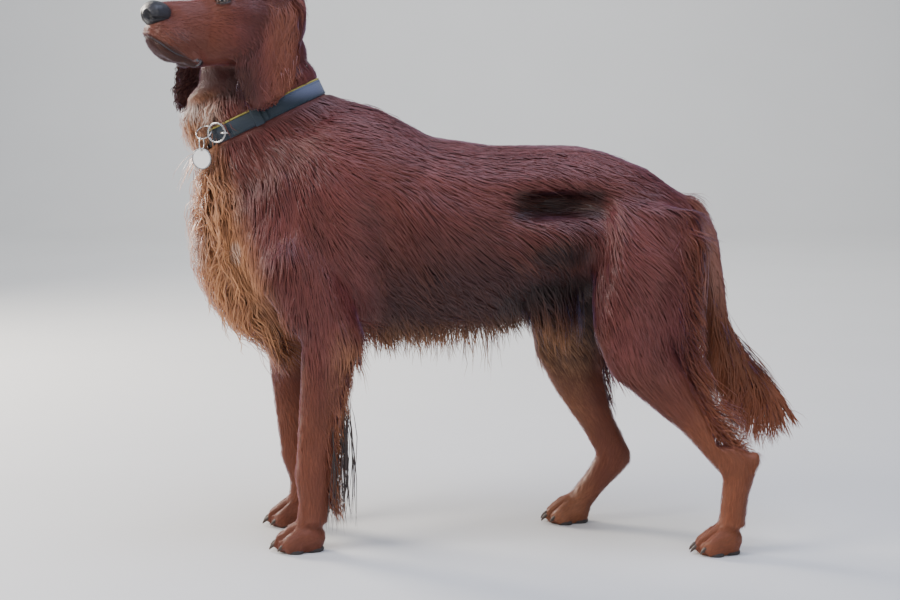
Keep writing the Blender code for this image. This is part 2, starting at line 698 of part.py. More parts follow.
def ring(name, centre, radius, wire, facing, segments=16, sides=6):
    """A wire ring about the axis `facing`."""
    turn = Vector(facing).to_track_quat("Z", "Y").to_matrix()
    bm = bmesh.new()
    rings = []
    for k in range(segments):
        a = 2 * math.pi * k / segments
        middle = Vector((math.cos(a) * radius, math.sin(a) * radius, 0))
        out = Vector((math.cos(a), math.sin(a), 0))
        loop = []
        for j in range(sides):
            b = 2 * math.pi * j / sides
            point = middle + out * math.cos(b) * wire + Vector((0, 0, math.sin(b) * wire))
            loop.append(bm.verts.new(Vector(centre) + turn @ point))
        rings.append(loop)
    for a, b in zip(rings, rings[1:] + rings[:1]):
        for j in range(sides):
            n = (j + 1) % sides
            bm.faces.new((a[j], a[n], b[n], b[j]))
    return object_from(name, bm)


def upright_ring(name, centre, radius, stretch, wire, facing, segments=14, sides=5):
    """A wire link that stands on its long axis, about the level axis `facing`."""
    level = UP.cross(facing).normalized()
    bm = bmesh.new()
    rings = []
    for k in range(segments):
        a = 2 * math.pi * k / segments
        middle = level * (math.cos(a) * radius) + UP * (math.sin(a) * radius * stretch)
        out = level * math.cos(a) + UP * math.sin(a)
        loop = []
        for j in range(sides):
            b = 2 * math.pi * j / sides
            loop.append(bm.verts.new(centre + middle + out * (math.cos(b) * wire) + facing * (math.sin(b) * wire)))
        rings.append(loop)
    for a, b in zip(rings, rings[1:] + rings[:1]):
        for j in range(sides):
            n = (j + 1) % sides
            bm.faces.new((a[j], a[n], b[n], b[j]))
    return object_from(name, bm)


def disc(name, centre, radius, thick, facing, segments=24):
    bm = bmesh.new()
    turn = Vector(facing).to_track_quat("Z", "Y").to_matrix().to_4x4()
    place = Matrix.Translation(centre) @ turn
    bmesh.ops.create_cone(
        bm, cap_ends=True, segments=segments, radius1=radius, radius2=radius, depth=thick, matrix=place
    )
    return object_from(name, bm)


# --- cells that part the body -----------------------------------------------------------------------
def grown_outline(points, grow):
    """A closed outline moved out by `grow` along the halves of its corners."""
    area = sum(a[0] * b[1] - b[0] * a[1] for a, b in zip(points, points[1:] + points[:1]))
    turn = 1 if area > 0 else -1
    moved = []
    for k, here in enumerate(points):
        here = Vector(here)
        before = (here - Vector(points[k - 1])).normalized()
        after = (Vector(points[(k + 1) % len(points)]) - here).normalized()
        first = Vector((before.y, -before.x)) * turn
        second = Vector((after.y, -after.x)) * turn
        half = (first + second).normalized()
        moved.append(here + half * (grow / max(half.dot(first), 0.3)))
    return moved


def prism(points, low, high, place=Matrix.Identity(4)):
    """Cell maker: the outline in x and z, reaching from y = low to y = high."""

    def cell(grow):
        bm = bmesh.new()
        outline = grown_outline(points, grow)
        near = [bm.verts.new(place @ Vector((p.x, low - grow, p.y))) for p in outline]
        far = [bm.verts.new(place @ Vector((p.x, high + grow, p.y))) for p in outline]
        bm.faces.new(near)
        bm.faces.new(far)
        for k in range(len(outline)):
            n = (k + 1) % len(outline)
            bm.faces.new((near[k], near[n], far[n], far[k]))
        return object_from("cell", bm)

    return cell


def slab(x_range, z_range, low, high):
    """Cell maker: an upright box."""
    (x0, x1), (z0, z1) = x_range, z_range
    return prism([(x0, z0), (x1, z0), (x1, z1), (x0, z1)], low, high)


def on_side(tag, near, far=0.3):
    """The y range from `near` to `far` on one side of the dog."""
    return (-far, -near) if tag == "l" else (near, far)


BIB_OUTLINE = [(-0.353, 0.62), (-0.340, 0.45), (-0.298, 0.380), (-0.298, 0.28), (-0.50, 0.28), (-0.50, 0.62)]
BELLY_OUTLINE = [(-0.176, 0.337), (0.134, 0.374), (0.134, 0.20), (-0.176, 0.20)]
TAIL_OUTLINE = [(0.374, 0.62), (0.374, 0.53), (0.386, 0.46), (0.386, 0.34), (0.40, 0.10), (0.66, 0.10), (0.66, 0.62)]
FOREHAIR_OUTLINE = [(-0.150, 0.318), (-0.159, 0.27), (-0.176, 0.20), (-0.186, 0.14), (-0.186, 0.02), (-0.12, 0.02),
                    (-0.12, 0.318)]
HINDHAIR_OUTLINE = {
    "l": [(0.352, 0.49), (0.358, 0.42), (0.354, 0.35), (0.354, 0.29), (0.374, 0.25), (0.395, 0.212), (0.41, 0.17),
          (0.46, 0.17), (0.46, 0.49)],
    "r": [(0.338, 0.49), (0.312, 0.42), (0.280, 0.36), (0.257, 0.30), (0.250, 0.25), (0.260, 0.205), (0.272, 0.165),
          (0.33, 0.165), (0.42, 0.49)],
}
SHOULDER_OUTLINE = [(-0.130, 0.640), (-0.225, 0.595), (-0.318, 0.505), (-0.305, 0.425), (-0.250, 0.335),
                    (-0.122, 0.335), (-0.108, 0.38), (-0.098, 0.52)]
THIGH_OUTLINE = {
    "l": [(0.225, 0.545), (0.36, 0.56), (0.41, 0.47), (0.41, 0.29), (0.20, 0.29), (0.196, 0.40)],
    "r": [(0.190, 0.545), (0.36, 0.56), (0.41, 0.47), (0.31, 0.29), (0.105, 0.29), (0.124, 0.40)],
}
JAW_OUTLINE = [(-0.262, -0.052), (-0.195, -0.057), (-0.170, -0.053), (-0.148, -0.060), (-0.148, -0.09), (-0.262, -0.09)]
NOSE_AT, NOSE_RADII = (-0.2500, 0, 0.0035), (0.0150, 0.0225, 0.0195)


def nose_cell(grow):
    bm = bmesh.new()
    shape = Matrix.Diagonal((*[r + grow for r in NOSE_RADII], 1))
    bmesh.ops.create_uvsphere(
        bm, u_segments=14, v_segments=7, radius=1, matrix=HEAD_PLACE @ Matrix.Translation(NOSE_AT) @ shape
    )
    return object_from("cell", bm)


HOCK_HEIGHT, PAW_HEIGHT, WRIST_HEIGHT = 0.158, 0.049, 0.120


def parted(rest):
    """All the pieces of the body, by name. What is left over is the trunk."""
    pieces, cells = {}, {}

    def part(name, cell, source=None):
        pieces[name] = take(source or rest, name, cell)
        cells[name] = cell

    part("head", half_space((-0.19, 0.775), (-0.38, 0.702), (-1, 0, 3)))
    part("chest_hair", prism(BIB_OUTLINE, -0.2, 0.2))
    part("neck", half_space((-0.115, 0.690), (-0.40, 0.575), (-1, 0, 2)))
    part("belly_hair", prism(BELLY_OUTLINE, -0.06, 0.06))
    part("tail", prism(TAIL_OUTLINE, -0.036, 0.036))
    for tag in SIDES:
        side = on_side(tag, 0.036)
        hair = [(x + lead(tag, z), z) for x, z in FOREHAIR_OUTLINE]
        part("foreleg_hair_" + tag, prism(hair, *on_side(tag, 0.06)))
        part("thigh_hair_" + tag, prism(HINDHAIR_OUTLINE[tag], *on_side(tag, 0.042)))
        part("forepaw_" + tag, slab((-0.36, -0.12), (-0.1, PAW_HEIGHT), *side))
        part("fore_pastern_" + tag, slab((-0.36, -0.12), (-0.1, WRIST_HEIGHT), *side))
        part("forearm_" + tag, slab((-0.36, -0.10), (-0.1, 0.332), *side))
        part("shoulder_" + tag, prism(SHOULDER_OUTLINE, *on_side(tag, 0.062)))
        part("hindpaw_" + tag, slab((0.10, 0.60), (-0.1, PAW_HEIGHT), *side))
        part("hind_pastern_" + tag, slab((0.10, 0.60), (-0.1, HOCK_HEIGHT), *side))
        part("shank_" + tag, slab((0.08, 0.60), (-0.1, 0.290), *side))
        part("thigh_" + tag, prism(THIGH_OUTLINE[tag], *side))
    rest.name = "trunk"
    pieces["trunk"] = largest_island(rest)
    for name, piece in pieces.items():
        thinned(piece, KEPT_SHARES.get(name.rsplit("_", 1)[0], KEPT_SHARE))
    trim_apart(pieces, cells)
    pieces["tail_hair"] = copy_of(pieces["tail"], "tail_hair")
    combine(pieces["tail"], loft("cell", leg_stations(TAIL, 1, 0.0020), sides=10, steps=2), "INTERSECT")
    combine(pieces["tail_hair"], loft("cell", leg_stations(TAIL, 1, 0.0020 + GAP), sides=10, steps=2))
    largest_island(pieces["tail"])
    largest_island(pieces["tail_hair"])
    part("lower_jaw", prism(JAW_OUTLINE, -0.0195, 0.0195, HEAD_PLACE), pieces["head"])
    part("nose", nose_cell, pieces["head"])
    return pieces


EYE_FACING = Vector((-0.62, 0.76, 0.14)).normalized()  # of the right eye; the left is mirrored


def set_eyes(pieces):
    """Both eyeballs in hollows of the head, each open to the air between its lids."""
    for tag, side in SIDES.items():
        at = Vector((EYE_AT[0], EYE_AT[1] * side, EYE_AT[2]))
        facing = Vector((EYE_FACING.x, EYE_FACING.y * side, EYE_FACING.z))
        turn = facing.to_track_quat("X", "Z").to_matrix().to_4x4()
        hollow = blob("hollow", HEAD_PLACE @ at, (EYE_RADIUS + GAP,) * 3, detail=2)
        combine(pieces["head"], hollow)
        bm = bmesh.new()
        shape = Matrix.Diagonal((0.022, EYE_OPENING[0], EYE_OPENING[1], 1))
        place = HEAD_PLACE @ Matrix.Translation(at + facing * 0.010) @ turn @ shape
        bmesh.ops.create_icosphere(bm, subdivisions=2, radius=1, matrix=place)
        combine(pieces["head"], object_from("opening", bm))
        pieces["eye_" + tag] = blob("eye_" + tag, HEAD_PLACE @ at, (EYE_RADIUS,) * 3, detail=2)
    largest_island(pieces["head"])


def set_nostrils(pieces):
    for side in (LEFT, RIGHT):
        at = HEAD_PLACE @ Vector((-0.2555, side * 0.0105, -0.001))
        combine(pieces["nose"], blob("nostril", at, (0.007, 0.0042, 0.0036), (0, 0, 30 + side * 28), detail=1))
    largest_island(pieces["nose"])


def set_claws(pieces):
    """Four claws on each paw, joined to it."""
    for name, (x, y, scale) in paw_places().items():
        for ahead, aside, length in PAW_TOES:
            for side in (LEFT, RIGHT):
                bm = bmesh.new()
                tip = Matrix.Translation((x + (ahead - length + 0.001) * scale, y + side * aside * scale, 0.0090))
                lean = Matrix.Rotation(math.radians(-114), 4, "Y")
                bmesh.ops.create_cone(
                    bm, cap_ends=True, segments=6, radius1=0.0036, radius2=0.0012, depth=0.012, matrix=tip @ lean
                )
                combine(pieces[name], object_from("claw", bm), "UNION")
        largest_island(pieces[name])


def set_ears(pieces):
    for tag, (turn, stations) in EARS.items():
        ear = loft("ear_" + tag, stations, turn=turn, sides=12, steps=2)
        for near in ("head", "neck"):
            combine(ear, copy_of(pieces[near], "near", GAP * 2))
        pieces["ear_" + tag] = largest_island(ear)


LOOP_RADIUS, LOOP_WIRE = 0.0062, 0.0018
RING_WIRE = 0.0017
SECOND_RADIUS, SECOND_WIRE = 0.0125, 0.0013
LINK_RADIUS, LINK_WIRE, LINK_STRETCH = 0.0075, 0.0010, 1.35
TAG_HOLE, TAG_HOLE_IN = 0.0020, 0.0035
HANG_FACING = Vector((-0.35, -0.93, 0)).normalized()  # the flat of the D-ring and the tag
HANG_AHEAD = Vector((0, 0, 1)).cross(HANG_FACING).normalized() * -1
UP = Vector((0, 0, 1))


def set_collar(pieces):
    """The strap in a groove of the neck, its loop, and the chain of rings that holds the tag."""
    combine(pieces["neck"], strap("groove", GAP, 0.012))
    largest_island(pieces["neck"])
    loop_at = collar_point(LOOP_TURN, LOOP_RADIUS, -0.001)
    band = strap("collar")
    combine(band, ring("loop", loop_at, LOOP_RADIUS, LOOP_WIRE, UP, segments=12, sides=5), "UNION")
    ring_at = loop_at + HANG_AHEAD * RING_RADIUS
    second_at = ring_at + HANG_AHEAD * (RING_RADIUS + 0.007)
    second_facing = (HANG_FACING * 0.75 + UP * 0.66).normalized()
    low_point = second_at + (HANG_FACING * 0.66 - UP * 0.75).normalized() * SECOND_RADIUS
    link_reach = LINK_RADIUS * LINK_STRETCH
    link_at = low_point + UP * (0.003 - link_reach)
    tag_at = link_at - UP * (link_reach + TAG_RADIUS - TAG_HOLE_IN)
    pieces["collar"] = band
    pieces["collar_ring"] = ring("collar_ring", ring_at, RING_RADIUS, RING_WIRE, HANG_FACING)
    pieces["tag_ring"] = ring("tag_ring", second_at, SECOND_RADIUS, SECOND_WIRE, second_facing)
    pieces["tag_link"] = upright_ring("tag_link", link_at, LINK_RADIUS, LINK_STRETCH, LINK_WIRE, HANG_AHEAD)
    tag = disc("tag", tag_at, TAG_RADIUS, TAG_THICK, HANG_FACING)
    hole = disc("hole", tag_at + UP * (TAG_RADIUS - TAG_HOLE_IN), TAG_HOLE, TAG_THICK * 3, HANG_FACING, segments=10)
    pieces["tag"] = combine(tag, hole)


FINISHES = {  # by the start of a node's name
    "nose": ("nose_skin", BLACK, 0.35, 0.0),
    "eye": ("eye_gloss", (0.10, 0.045, 0.015, 1.0), 0.05, 0.0),
    "collar_ring": ("ring_steel", STEEL, 0.25, 1.0),
    "tag_ring": ("ring_steel", STEEL, 0.25, 1.0),
    "tag_link": ("ring_steel", STEEL, 0.25, 1.0),
    "tag": ("tag_enamel", IVORY, 0.35, 0.0),
    "collar": ("collar_strap", TEAL, 0.55, 0.0),
    "chest_hair": ("long_coat", LIGHT_COAT, 0.6, 0.0),
    "belly_hair": ("long_coat", LIGHT_COAT, 0.6, 0.0),
    "tail_hair": ("long_coat", LIGHT_COAT, 0.6, 0.0),
    "foreleg_hair": ("long_coat", LIGHT_COAT, 0.6, 0.0),
    "thigh_hair": ("long_coat", LIGHT_COAT, 0.6, 0.0),
    "ear": ("ear_coat", COAT, 0.55, 0.0),
}


def finish(pieces):
    """Gives each piece its own material and puts the middle of the whole over the origin, on the floor."""
    corners = np.array([v.co[:] for piece in pieces.values() for v in piece.data.vertices])
    low, high = corners.min(axis=0), corners.max(axis=0)
    shift = Matrix.Translation((-(low[0] + high[0]) / 2, -(low[1] + high[1]) / 2, -low[2]))
    for name, piece in pieces.items():
        match = next((FINISHES[start] for start in FINISHES if name.startswith(start)), None)
        base, colour, roughness, metallic = match or ("coat", COAT, 0.55, 0.0)
        piece.name = name
        piece.data.name = name
        piece.data.transform(shift)
        piece.data.materials.clear()
        piece.data.materials.append(material(f"{base}_{name}", colour, roughness, metallic))


if __name__ == "__main__":
    clear_scene()
    everything = parted(whole_body())
    set_eyes(everything)
    set_nostrils(everything)
    set_claws(everything)
    set_ears(everything)
    set_collar(everything)
    finish(everything)
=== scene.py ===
"""The looks of a standing Irish setter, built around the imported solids.

One skin lies over all the flesh. The coat grows from it as solid tufts and locks that follow the lie of
the hair, and the eyes, lids, nose, lips, claws, collar and tag are pieces of their own.
"""

import logging
import math
from dataclasses import dataclass, field
from enum import Enum
from typing import Callable, Dict, List, Optional, Sequence, Tuple, Union

import bmesh
import bpy
import numpy as np
from mathutils import Matrix, Vector
from mathutils.bvhtree import BVHTree


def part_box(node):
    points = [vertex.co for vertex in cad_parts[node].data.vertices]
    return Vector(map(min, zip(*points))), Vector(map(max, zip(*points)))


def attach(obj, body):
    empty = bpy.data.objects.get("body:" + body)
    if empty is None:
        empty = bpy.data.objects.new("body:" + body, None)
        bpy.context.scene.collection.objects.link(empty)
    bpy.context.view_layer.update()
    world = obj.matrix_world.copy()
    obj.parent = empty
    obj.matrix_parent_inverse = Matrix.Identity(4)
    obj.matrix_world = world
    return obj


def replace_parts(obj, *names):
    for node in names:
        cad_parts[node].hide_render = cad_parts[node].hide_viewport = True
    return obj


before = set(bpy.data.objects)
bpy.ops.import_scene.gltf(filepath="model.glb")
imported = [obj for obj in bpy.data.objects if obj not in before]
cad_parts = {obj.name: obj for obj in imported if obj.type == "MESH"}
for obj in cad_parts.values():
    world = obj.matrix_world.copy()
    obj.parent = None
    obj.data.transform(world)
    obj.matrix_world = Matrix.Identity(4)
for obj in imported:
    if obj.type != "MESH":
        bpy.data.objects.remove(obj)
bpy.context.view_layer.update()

LOG = logging.getLogger("setter")
BODY = "root"
Colour = Tuple[float, float, float, float]
Triple = Tuple[float, float, float]

HEAD_YAW = math.radians(30)  # the head is turned to the dog's left
HEAD_PITCH = math.radians(2)
HEAD_STRETCH = 0.965
EYE_IN_HEAD = (-0.1395, 0.0275, 0.0245)
HEAD_IN_BODY = (-0.235, -0.010, 0.815)


class Side(Enum):
    """The dog's own left and right, as the sign of y."""

    LEFT = -1
    RIGHT = 1

    @property
    def tag(self) -> str:
        """The end of a node's name on this side."""
        return "l" if self is Side.LEFT else "r"


class Slot(Enum):
    """The record's material slots."""

    COAT = "coat"
    LONG_COAT = "long_coat"
    EAR_COAT = "ear_coat"
    STRAP = "collar_strap"
    BARE_SKIN = "nose_skin"
    EYE = "eye"
    METAL = "metal_ring"
    ENAMEL = "tag_enamel"


# --- shader tools -----------------------------------------------------------------------------------
Operand = Union["Signal", float]


class Signal:
    """A node's output that takes part in Python arithmetic."""

    def __init__(self, shader: "Shader", socket: bpy.types.NodeSocket) -> None:
        """Wraps a socket.

        Args:
            shader: the material that the socket belongs to.
            socket: the output socket.
        """
        self.shader = shader
        self.socket = socket

    def _math(self, operation: str, first: Operand, second: Operand) -> "Signal":
        """One Math node.

        Args:
            operation: the node's operation.
            first: its first value.
            second: its second value.

        Returns:
            The node's output.
        """
        return self.shader.node("ShaderNodeMath", {"operation": operation}, {0: first, 1: second})

    def __add__(self, other: Operand) -> "Signal":
        """Sum."""
        return self._math("ADD", self, other)

    def __radd__(self, other: Operand) -> "Signal":
        """Reflected sum."""
        return self._math("ADD", other, self)

    def __sub__(self, other: Operand) -> "Signal":
        """Difference."""
        return self._math("SUBTRACT", self, other)

    def __rsub__(self, other: Operand) -> "Signal":
        """Reflected difference."""
        return self._math("SUBTRACT", other, self)

    def __mul__(self, other: Operand) -> "Signal":
        """Product."""
        return self._math("MULTIPLY", self, other)

    def __rmul__(self, other: Operand) -> "Signal":
        """Reflected product."""
        return self._math("MULTIPLY", other, self)

    def __truediv__(self, other: Operand) -> "Signal":
        """Quotient."""
        return self._math("DIVIDE", self, other)

    def __pow__(self, other: Operand) -> "Signal":
        """Power."""
        return self._math("POWER", self, other)

    def step(self, low: float, high: float) -> "Signal":
        """A smooth rise from 0 at `low` to 1 at `high`, or a fall where `low` is the larger.

        Args:
            low: where the result is 0.
            high: where it is 1.

        Returns:
            The masked signal.
        """
        inputs = {"Value": self, "From Min": low, "From Max": high}
        return self.shader.node("ShaderNodeMapRange", {"interpolation_type": "SMOOTHSTEP"}, inputs)

    def unit(self) -> "Signal":
        """The value held between 0 and 1."""
        return self.shader.node("ShaderNodeClamp", {}, {"Value": self})


class Shader:
    """One node material with a Principled surface."""

    def __init__(self, name: str) -> None:
        """Makes the material.

        Args:
            name: the material's name.
        """
        self.material = bpy.data.materials.new(name)
        self.material.use_nodes = True
        self.tree = self.material.node_tree
        self.surface = self.tree.nodes["Principled BSDF"]

    def node(
        self,
        kind: str,
        settings: Optional[Dict[str, object]] = None,
        inputs: Optional[Dict[Union[int, str], object]] = None,
        output: Union[int, str] = 0,
    ) -> Signal:
        """Adds a node: its settings first, then its sockets.

        Args:
            kind: the node's type.
            settings: its properties.
            inputs: values or signals by socket.
            output: which output to hand back.

        Returns:
            The output as a signal.
        """
        made = self.tree.nodes.new(kind)
        for name, value in (settings or {}).items():
            setattr(made, name, value)
        for key, value in (inputs or {}).items():
            self.feed(made.inputs[key], value)
        return Signal(self, made.outputs[output])

    def feed(self, socket: bpy.types.NodeSocket, value: object) -> None:
        """Links a signal to a socket, or sets the socket's own value.

        Args:
            socket: the input socket.
            value: a signal, number, colour or vector.
        """
        if isinstance(value, Signal):
            self.tree.links.new(value.socket, socket)
        else:
            socket.default_value = value

    def set(self, **sockets: object) -> None:
        """Feeds sockets of the surface, named with underscores for spaces.

        Args:
            **sockets: values or signals by socket name.
        """
        for name, value in sockets.items():
            self.feed(self.surface.inputs[name.replace("_", " ")], value)

    def place(self) -> Signal:
        """Object coordinates, which are the shared frame's."""
        return self.node("ShaderNodeTexCoord", output="Object")

    def axes(self, vector: Signal) -> Tuple[Signal, Signal, Signal]:
        """The three numbers of a vector.

        Args:
            vector: the vector to split.

        Returns:
            Its x, y and z.
        """
        split = self.node("ShaderNodeSeparateXYZ", {}, {0: vector})
        outputs = split.socket.node.outputs
        return Signal(self, outputs[0]), Signal(self, outputs[1]), Signal(self, outputs[2])

    def attribute(self, name: str, output: str = "Fac") -> Signal:
        """A value stored on the mesh.

        Args:
            name: the attribute.
            output: the node's output to read.

        Returns:
            The value as a signal.
        """
        return self.node("ShaderNodeAttribute", {"attribute_name": name}, output=output)

    def vector(self, operation: str, first: object, second: object, output: Union[int, str] = 0) -> Signal:
        """Vector arithmetic.

        Args:
            operation: the node's operation.
            first: its first vector.
            second: its second vector.
            output: which output to hand back, "Value" where it is a number.

        Returns:
            The result.
        """
        return self.node("ShaderNodeVectorMath", {"operation": operation}, {0: first, 1: second}, output)

    def scaled(self, vector: Signal, factors: Triple) -> Signal:
        """A vector stretched along its axes."""
        return self.vector("MULTIPLY", vector, factors)

    def noise(self, vector: Signal, scale: float, detail: float = 2.0) -> Signal:
        """Noise between 0 and 1.

        Args:
            vector: where it is read.
            scale: its grain, in cells to the metre.
            detail: octaves.

        Returns:
            The noise as a signal.
        """
        return self.node("ShaderNodeTexNoise", {}, {"Vector": vector, "Scale": scale, "Detail": detail})

    def cells(self, vector: Signal, scale: float) -> Signal:
        """How far a place is from the edge of its cell, with `scale` cells to the metre."""
        inputs = {"Vector": vector, "Scale": scale}
        return self.node("ShaderNodeTexVoronoi", {"feature": "DISTANCE_TO_EDGE"}, inputs, "Distance")

    def mix(self, factor: Operand, first: object, second: object) -> Signal:
        """A colour between two.

        Args:
            factor: 0 for the first, 1 for the second.
            first: colour or signal.
            second: colour or signal.

        Returns:
            The mixed colour.
        """
        settings = {"data_type": "RGBA", "clamp_factor": True}
        return self.node("ShaderNodeMix", settings, {0: factor, 6: first, 7: second}, output=2)

    def bump(self, height: Signal, strength: float, distance: float) -> Signal:
        """A normal bent by a height.

        Args:
            height: the height signal.
            strength: share of the bump's effect.
            distance: metres that a height of 1 stands for.

        Returns:
            The normal.
        """
        return self.node("ShaderNodeBump", {}, {"Strength": strength, "Distance": distance, "Height": height})


# --- places on the body -----------------------------------------------------------------------------
def node_middle(name: str) -> Vector:
    """The middle of a node's box."""
    low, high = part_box(name)
    return (low + high) / 2


@dataclass(frozen=True)
class Anatomy:
    """Where the body's and the head's own frames lie in the shared one."""

    shift: Vector
    head: Matrix

    @staticmethod
    def measured() -> "Anatomy":
        """Finds both frames from the eyes.

        Returns:
            The anatomy.
        """
        turn = Matrix.Rotation(HEAD_YAW, 4, "Z") @ Matrix.Rotation(HEAD_PITCH, 4, "Y")
        shape = turn @ Matrix.Diagonal((HEAD_STRETCH, 1, 1, 1))
        between = (node_middle("eye_l") + node_middle("eye_r")) / 2
        origin = between - shape @ Vector((EYE_IN_HEAD[0], 0, EYE_IN_HEAD[2]))
        return Anatomy(origin - Vector(HEAD_IN_BODY), Matrix.Translation(origin) @ shape)

    def body_points(self, points: np.ndarray) -> np.ndarray:
        """Points of the shared frame, in the body's own frame."""
        return points - np.array(self.shift)

    def head_points(self, points: np.ndarray) -> np.ndarray:
        """Points of the shared frame, in the head's own frame."""
        back = np.array(self.head.inverted())
        return points @ back[:3, :3].T + back[:3, 3]

    def in_head(self, x: float, y: float, z: float) -> Vector:
        """A point of the head's frame, in the shared one."""
        return self.head @ Vector((x, y, z))

    def in_body(self, x: float, y: float, z: float) -> Vector:
        """A point of the body's frame, in the shared one."""
        return self.shift + Vector((x, y, z))


ANATOMY = Anatomy.measured()


# --- array tools ------------------------------------------------------------------------------------
def unit(vectors: np.ndarray) -> np.ndarray:
    """Vectors at length 1."""
    return vectors / np.maximum(np.linalg.norm(vectors, axis=-1, keepdims=True), 1e-12)


def flattened(vectors: np.ndarray, normals: np.ndarray) -> np.ndarray:
    """Vectors laid into the planes of the normals, at length 1."""
    return unit(vectors - normals * np.sum(vectors * normals, axis=-1, keepdims=True))


def rise(values: np.ndarray, low: float, high: float) -> np.ndarray:
    """A smooth rise from 0 at `low` to 1 at `high`, or a fall where `low` is the larger."""
    t = np.clip((values - low) / (high - low), 0, 1)
    return t * t * (3 - 2 * t)


def swell(points: np.ndarray, length: float, seed: int) -> np.ndarray:
    """A smooth field between about -1 and 1 with waves of about `length` metres.

    Args:
        points: where it is read.
        length: the waves' length.
        seed: which field.

    Returns:
        One value for each point.
    """
    rng = np.random.default_rng(seed)
    total = np.zeros(len(points))
    for _ in range(5):
        way = unit(rng.normal(size=3)) * (2 * math.pi / (length * rng.uniform(0.7, 1.5)))
        total += np.sin(points @ way + rng.uniform(0, 2 * math.pi))
    return total / 2.6


def mesh_arrays(mesh: bpy.types.Mesh) -> Tuple[np.ndarray, np.ndarray]:
    """A mesh's points and its triangles.

    Args:
        mesh: the mesh to read.

    Returns:
        Points, and three point numbers for each triangle.
    """
    points = np.zeros(len(mesh.vertices) * 3)
    mesh.vertices.foreach_get("co", points)
    mesh.calc_loop_triangles()
    corners = np.zeros(len(mesh.loop_triangles) * 3, np.int32)
    mesh.loop_triangles.foreach_get("vertices", corners)
    return points.reshape(-1, 3), corners.reshape(-1, 3)


class Web:
    """The edges of a mesh, over which values are evened out."""

    def __init__(self, mesh: bpy.types.Mesh) -> None:
        """Reads the edges.

        Args:
            mesh: the mesh.
        """
        ends = np.zeros(len(mesh.edges) * 2, np.int32)
        mesh.edges.foreach_get("vertices", ends)
        self.ends = ends.reshape(-1, 2)
        self.count = len(mesh.vertices)
        self.degree = np.maximum(np.bincount(self.ends.ravel(), minlength=self.count), 1)

    def mean(self, values: np.ndarray) -> np.ndarray:
        """The mean of each point's neighbours."""
        a, b = self.ends[:, 0], self.ends[:, 1]
        if values.ndim == 1:
            total = np.bincount(a, values[b], self.count) + np.bincount(b, values[a], self.count)
            return total / self.degree
        return np.stack([self.mean(values[:, k]) for k in range(values.shape[1])], axis=1)

    def even(self, values: np.ndarray, passes: int, strength: Union[float, np.ndarray] = 0.5) -> np.ndarray:
        """Values drawn to their neighbours' mean.

        Args:
            values: one number or vector for each point.
            passes: how many times.
            strength: how far each time, for all or for each point.

        Returns:
            The evened values.
        """
        share = strength if np.isscalar(strength) or values.ndim == 1 else np.asarray(strength)[:, None]
        for _ in range(passes):
            values = values + (self.mean(values) - values) * share
        return values

    def faired(self, points: np.ndarray, passes: int, strength: np.ndarray) -> np.ndarray:
        """Points smoothed without shrinking: each pass in is followed by a pass out.

        Args:
            points: the points.
            passes: how many pairs of passes.
            strength: 0 to 1 for each point.

        Returns:
            The faired points.
        """
        share = strength[:, None]
        for _ in range(passes):
            points = points + (self.mean(points) - points) * (0.60 * share)
            points = points - (self.mean(points) - points) * (0.61 * share)
        return points


def new_object(name: str, mesh: bpy.types.Mesh) -> bpy.types.Object:
    """An object in the scene."""
    made = bpy.data.objects.new(name, mesh)
    bpy.context.scene.collection.objects.link(made)
    return made


def from_bmesh(name: str, bm: bmesh.types.BMesh) -> bpy.types.Object:
    """A smooth-shaded object made of a bmesh, which is used up."""
    mesh = bpy.data.meshes.new(name)
    bm.to_mesh(mesh)
    bm.free()
    for polygon in mesh.polygons:
        polygon.use_smooth = True
    return new_object(name, mesh)


def remove(thing: bpy.types.Object) -> None:
    """Deletes an object and its mesh."""
    mesh = thing.data
    bpy.data.objects.remove(thing)
    bpy.data.meshes.remove(mesh)


def finished(thing: bpy.types.Object, material: bpy.types.Material) -> bpy.types.Object:
    """Dresses a piece and lets it ride on the body.

    Args:
        thing: the piece.
        material: its material.

    Returns:
        The piece.
    """
    thing.data.materials.clear()
    thing.data.materials.append(material)
    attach(thing, BODY)
    triangles = sum(len(p.vertices) - 2 for p in thing.data.polygons)
    LOG.info("%s: %d triangles", thing.name, triangles)
    return thing


def blended_nodes(
    name: str, nodes: Sequence[str], grow: float, voxel: float, one_shell: bool = True
) -> bpy.types.Object:
    """CAD nodes grown a little and blended into one closed shape.

    Args:
        name: the new object's name.
        nodes: the nodes to copy.
        grow: how far their faces move out, so that thin gaps close.
        voxel: the grain of the new mesh.
        one_shell: whether only the largest shell is kept.

    Returns:
        The blended object.
    """
    bm = bmesh.new()
    for node in nodes:
        part = bmesh.new()
        part.from_mesh(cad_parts[node].data)
        bmesh.ops.remove_doubles(part, verts=part.verts, dist=0.00001)
        part.normal_update()
        for vertex in part.verts:
            vertex.co += vertex.normal * grow
        mesh = bpy.data.meshes.new("part")
        part.to_mesh(mesh)
        part.free()
        bm.from_mesh(mesh)
        bpy.data.meshes.remove(mesh)
    rough = from_bmesh("rough", bm)
    remesh = rough.modifiers.new("remesh", "REMESH")
    remesh.mode, remesh.voxel_size, remesh.adaptivity = "VOXEL", voxel, 0.0
    view = bpy.context.evaluated_depsgraph_get()
    mesh = bpy.data.meshes.new_from_object(rough.evaluated_get(view))
    remove(rough)
    mesh.name = name
    if one_shell:
        bm = bmesh.new()
        bm.from_mesh(mesh)
        keep_largest(bm)
        bm.to_mesh(mesh)
        bm.free()
    return new_object(name, mesh)


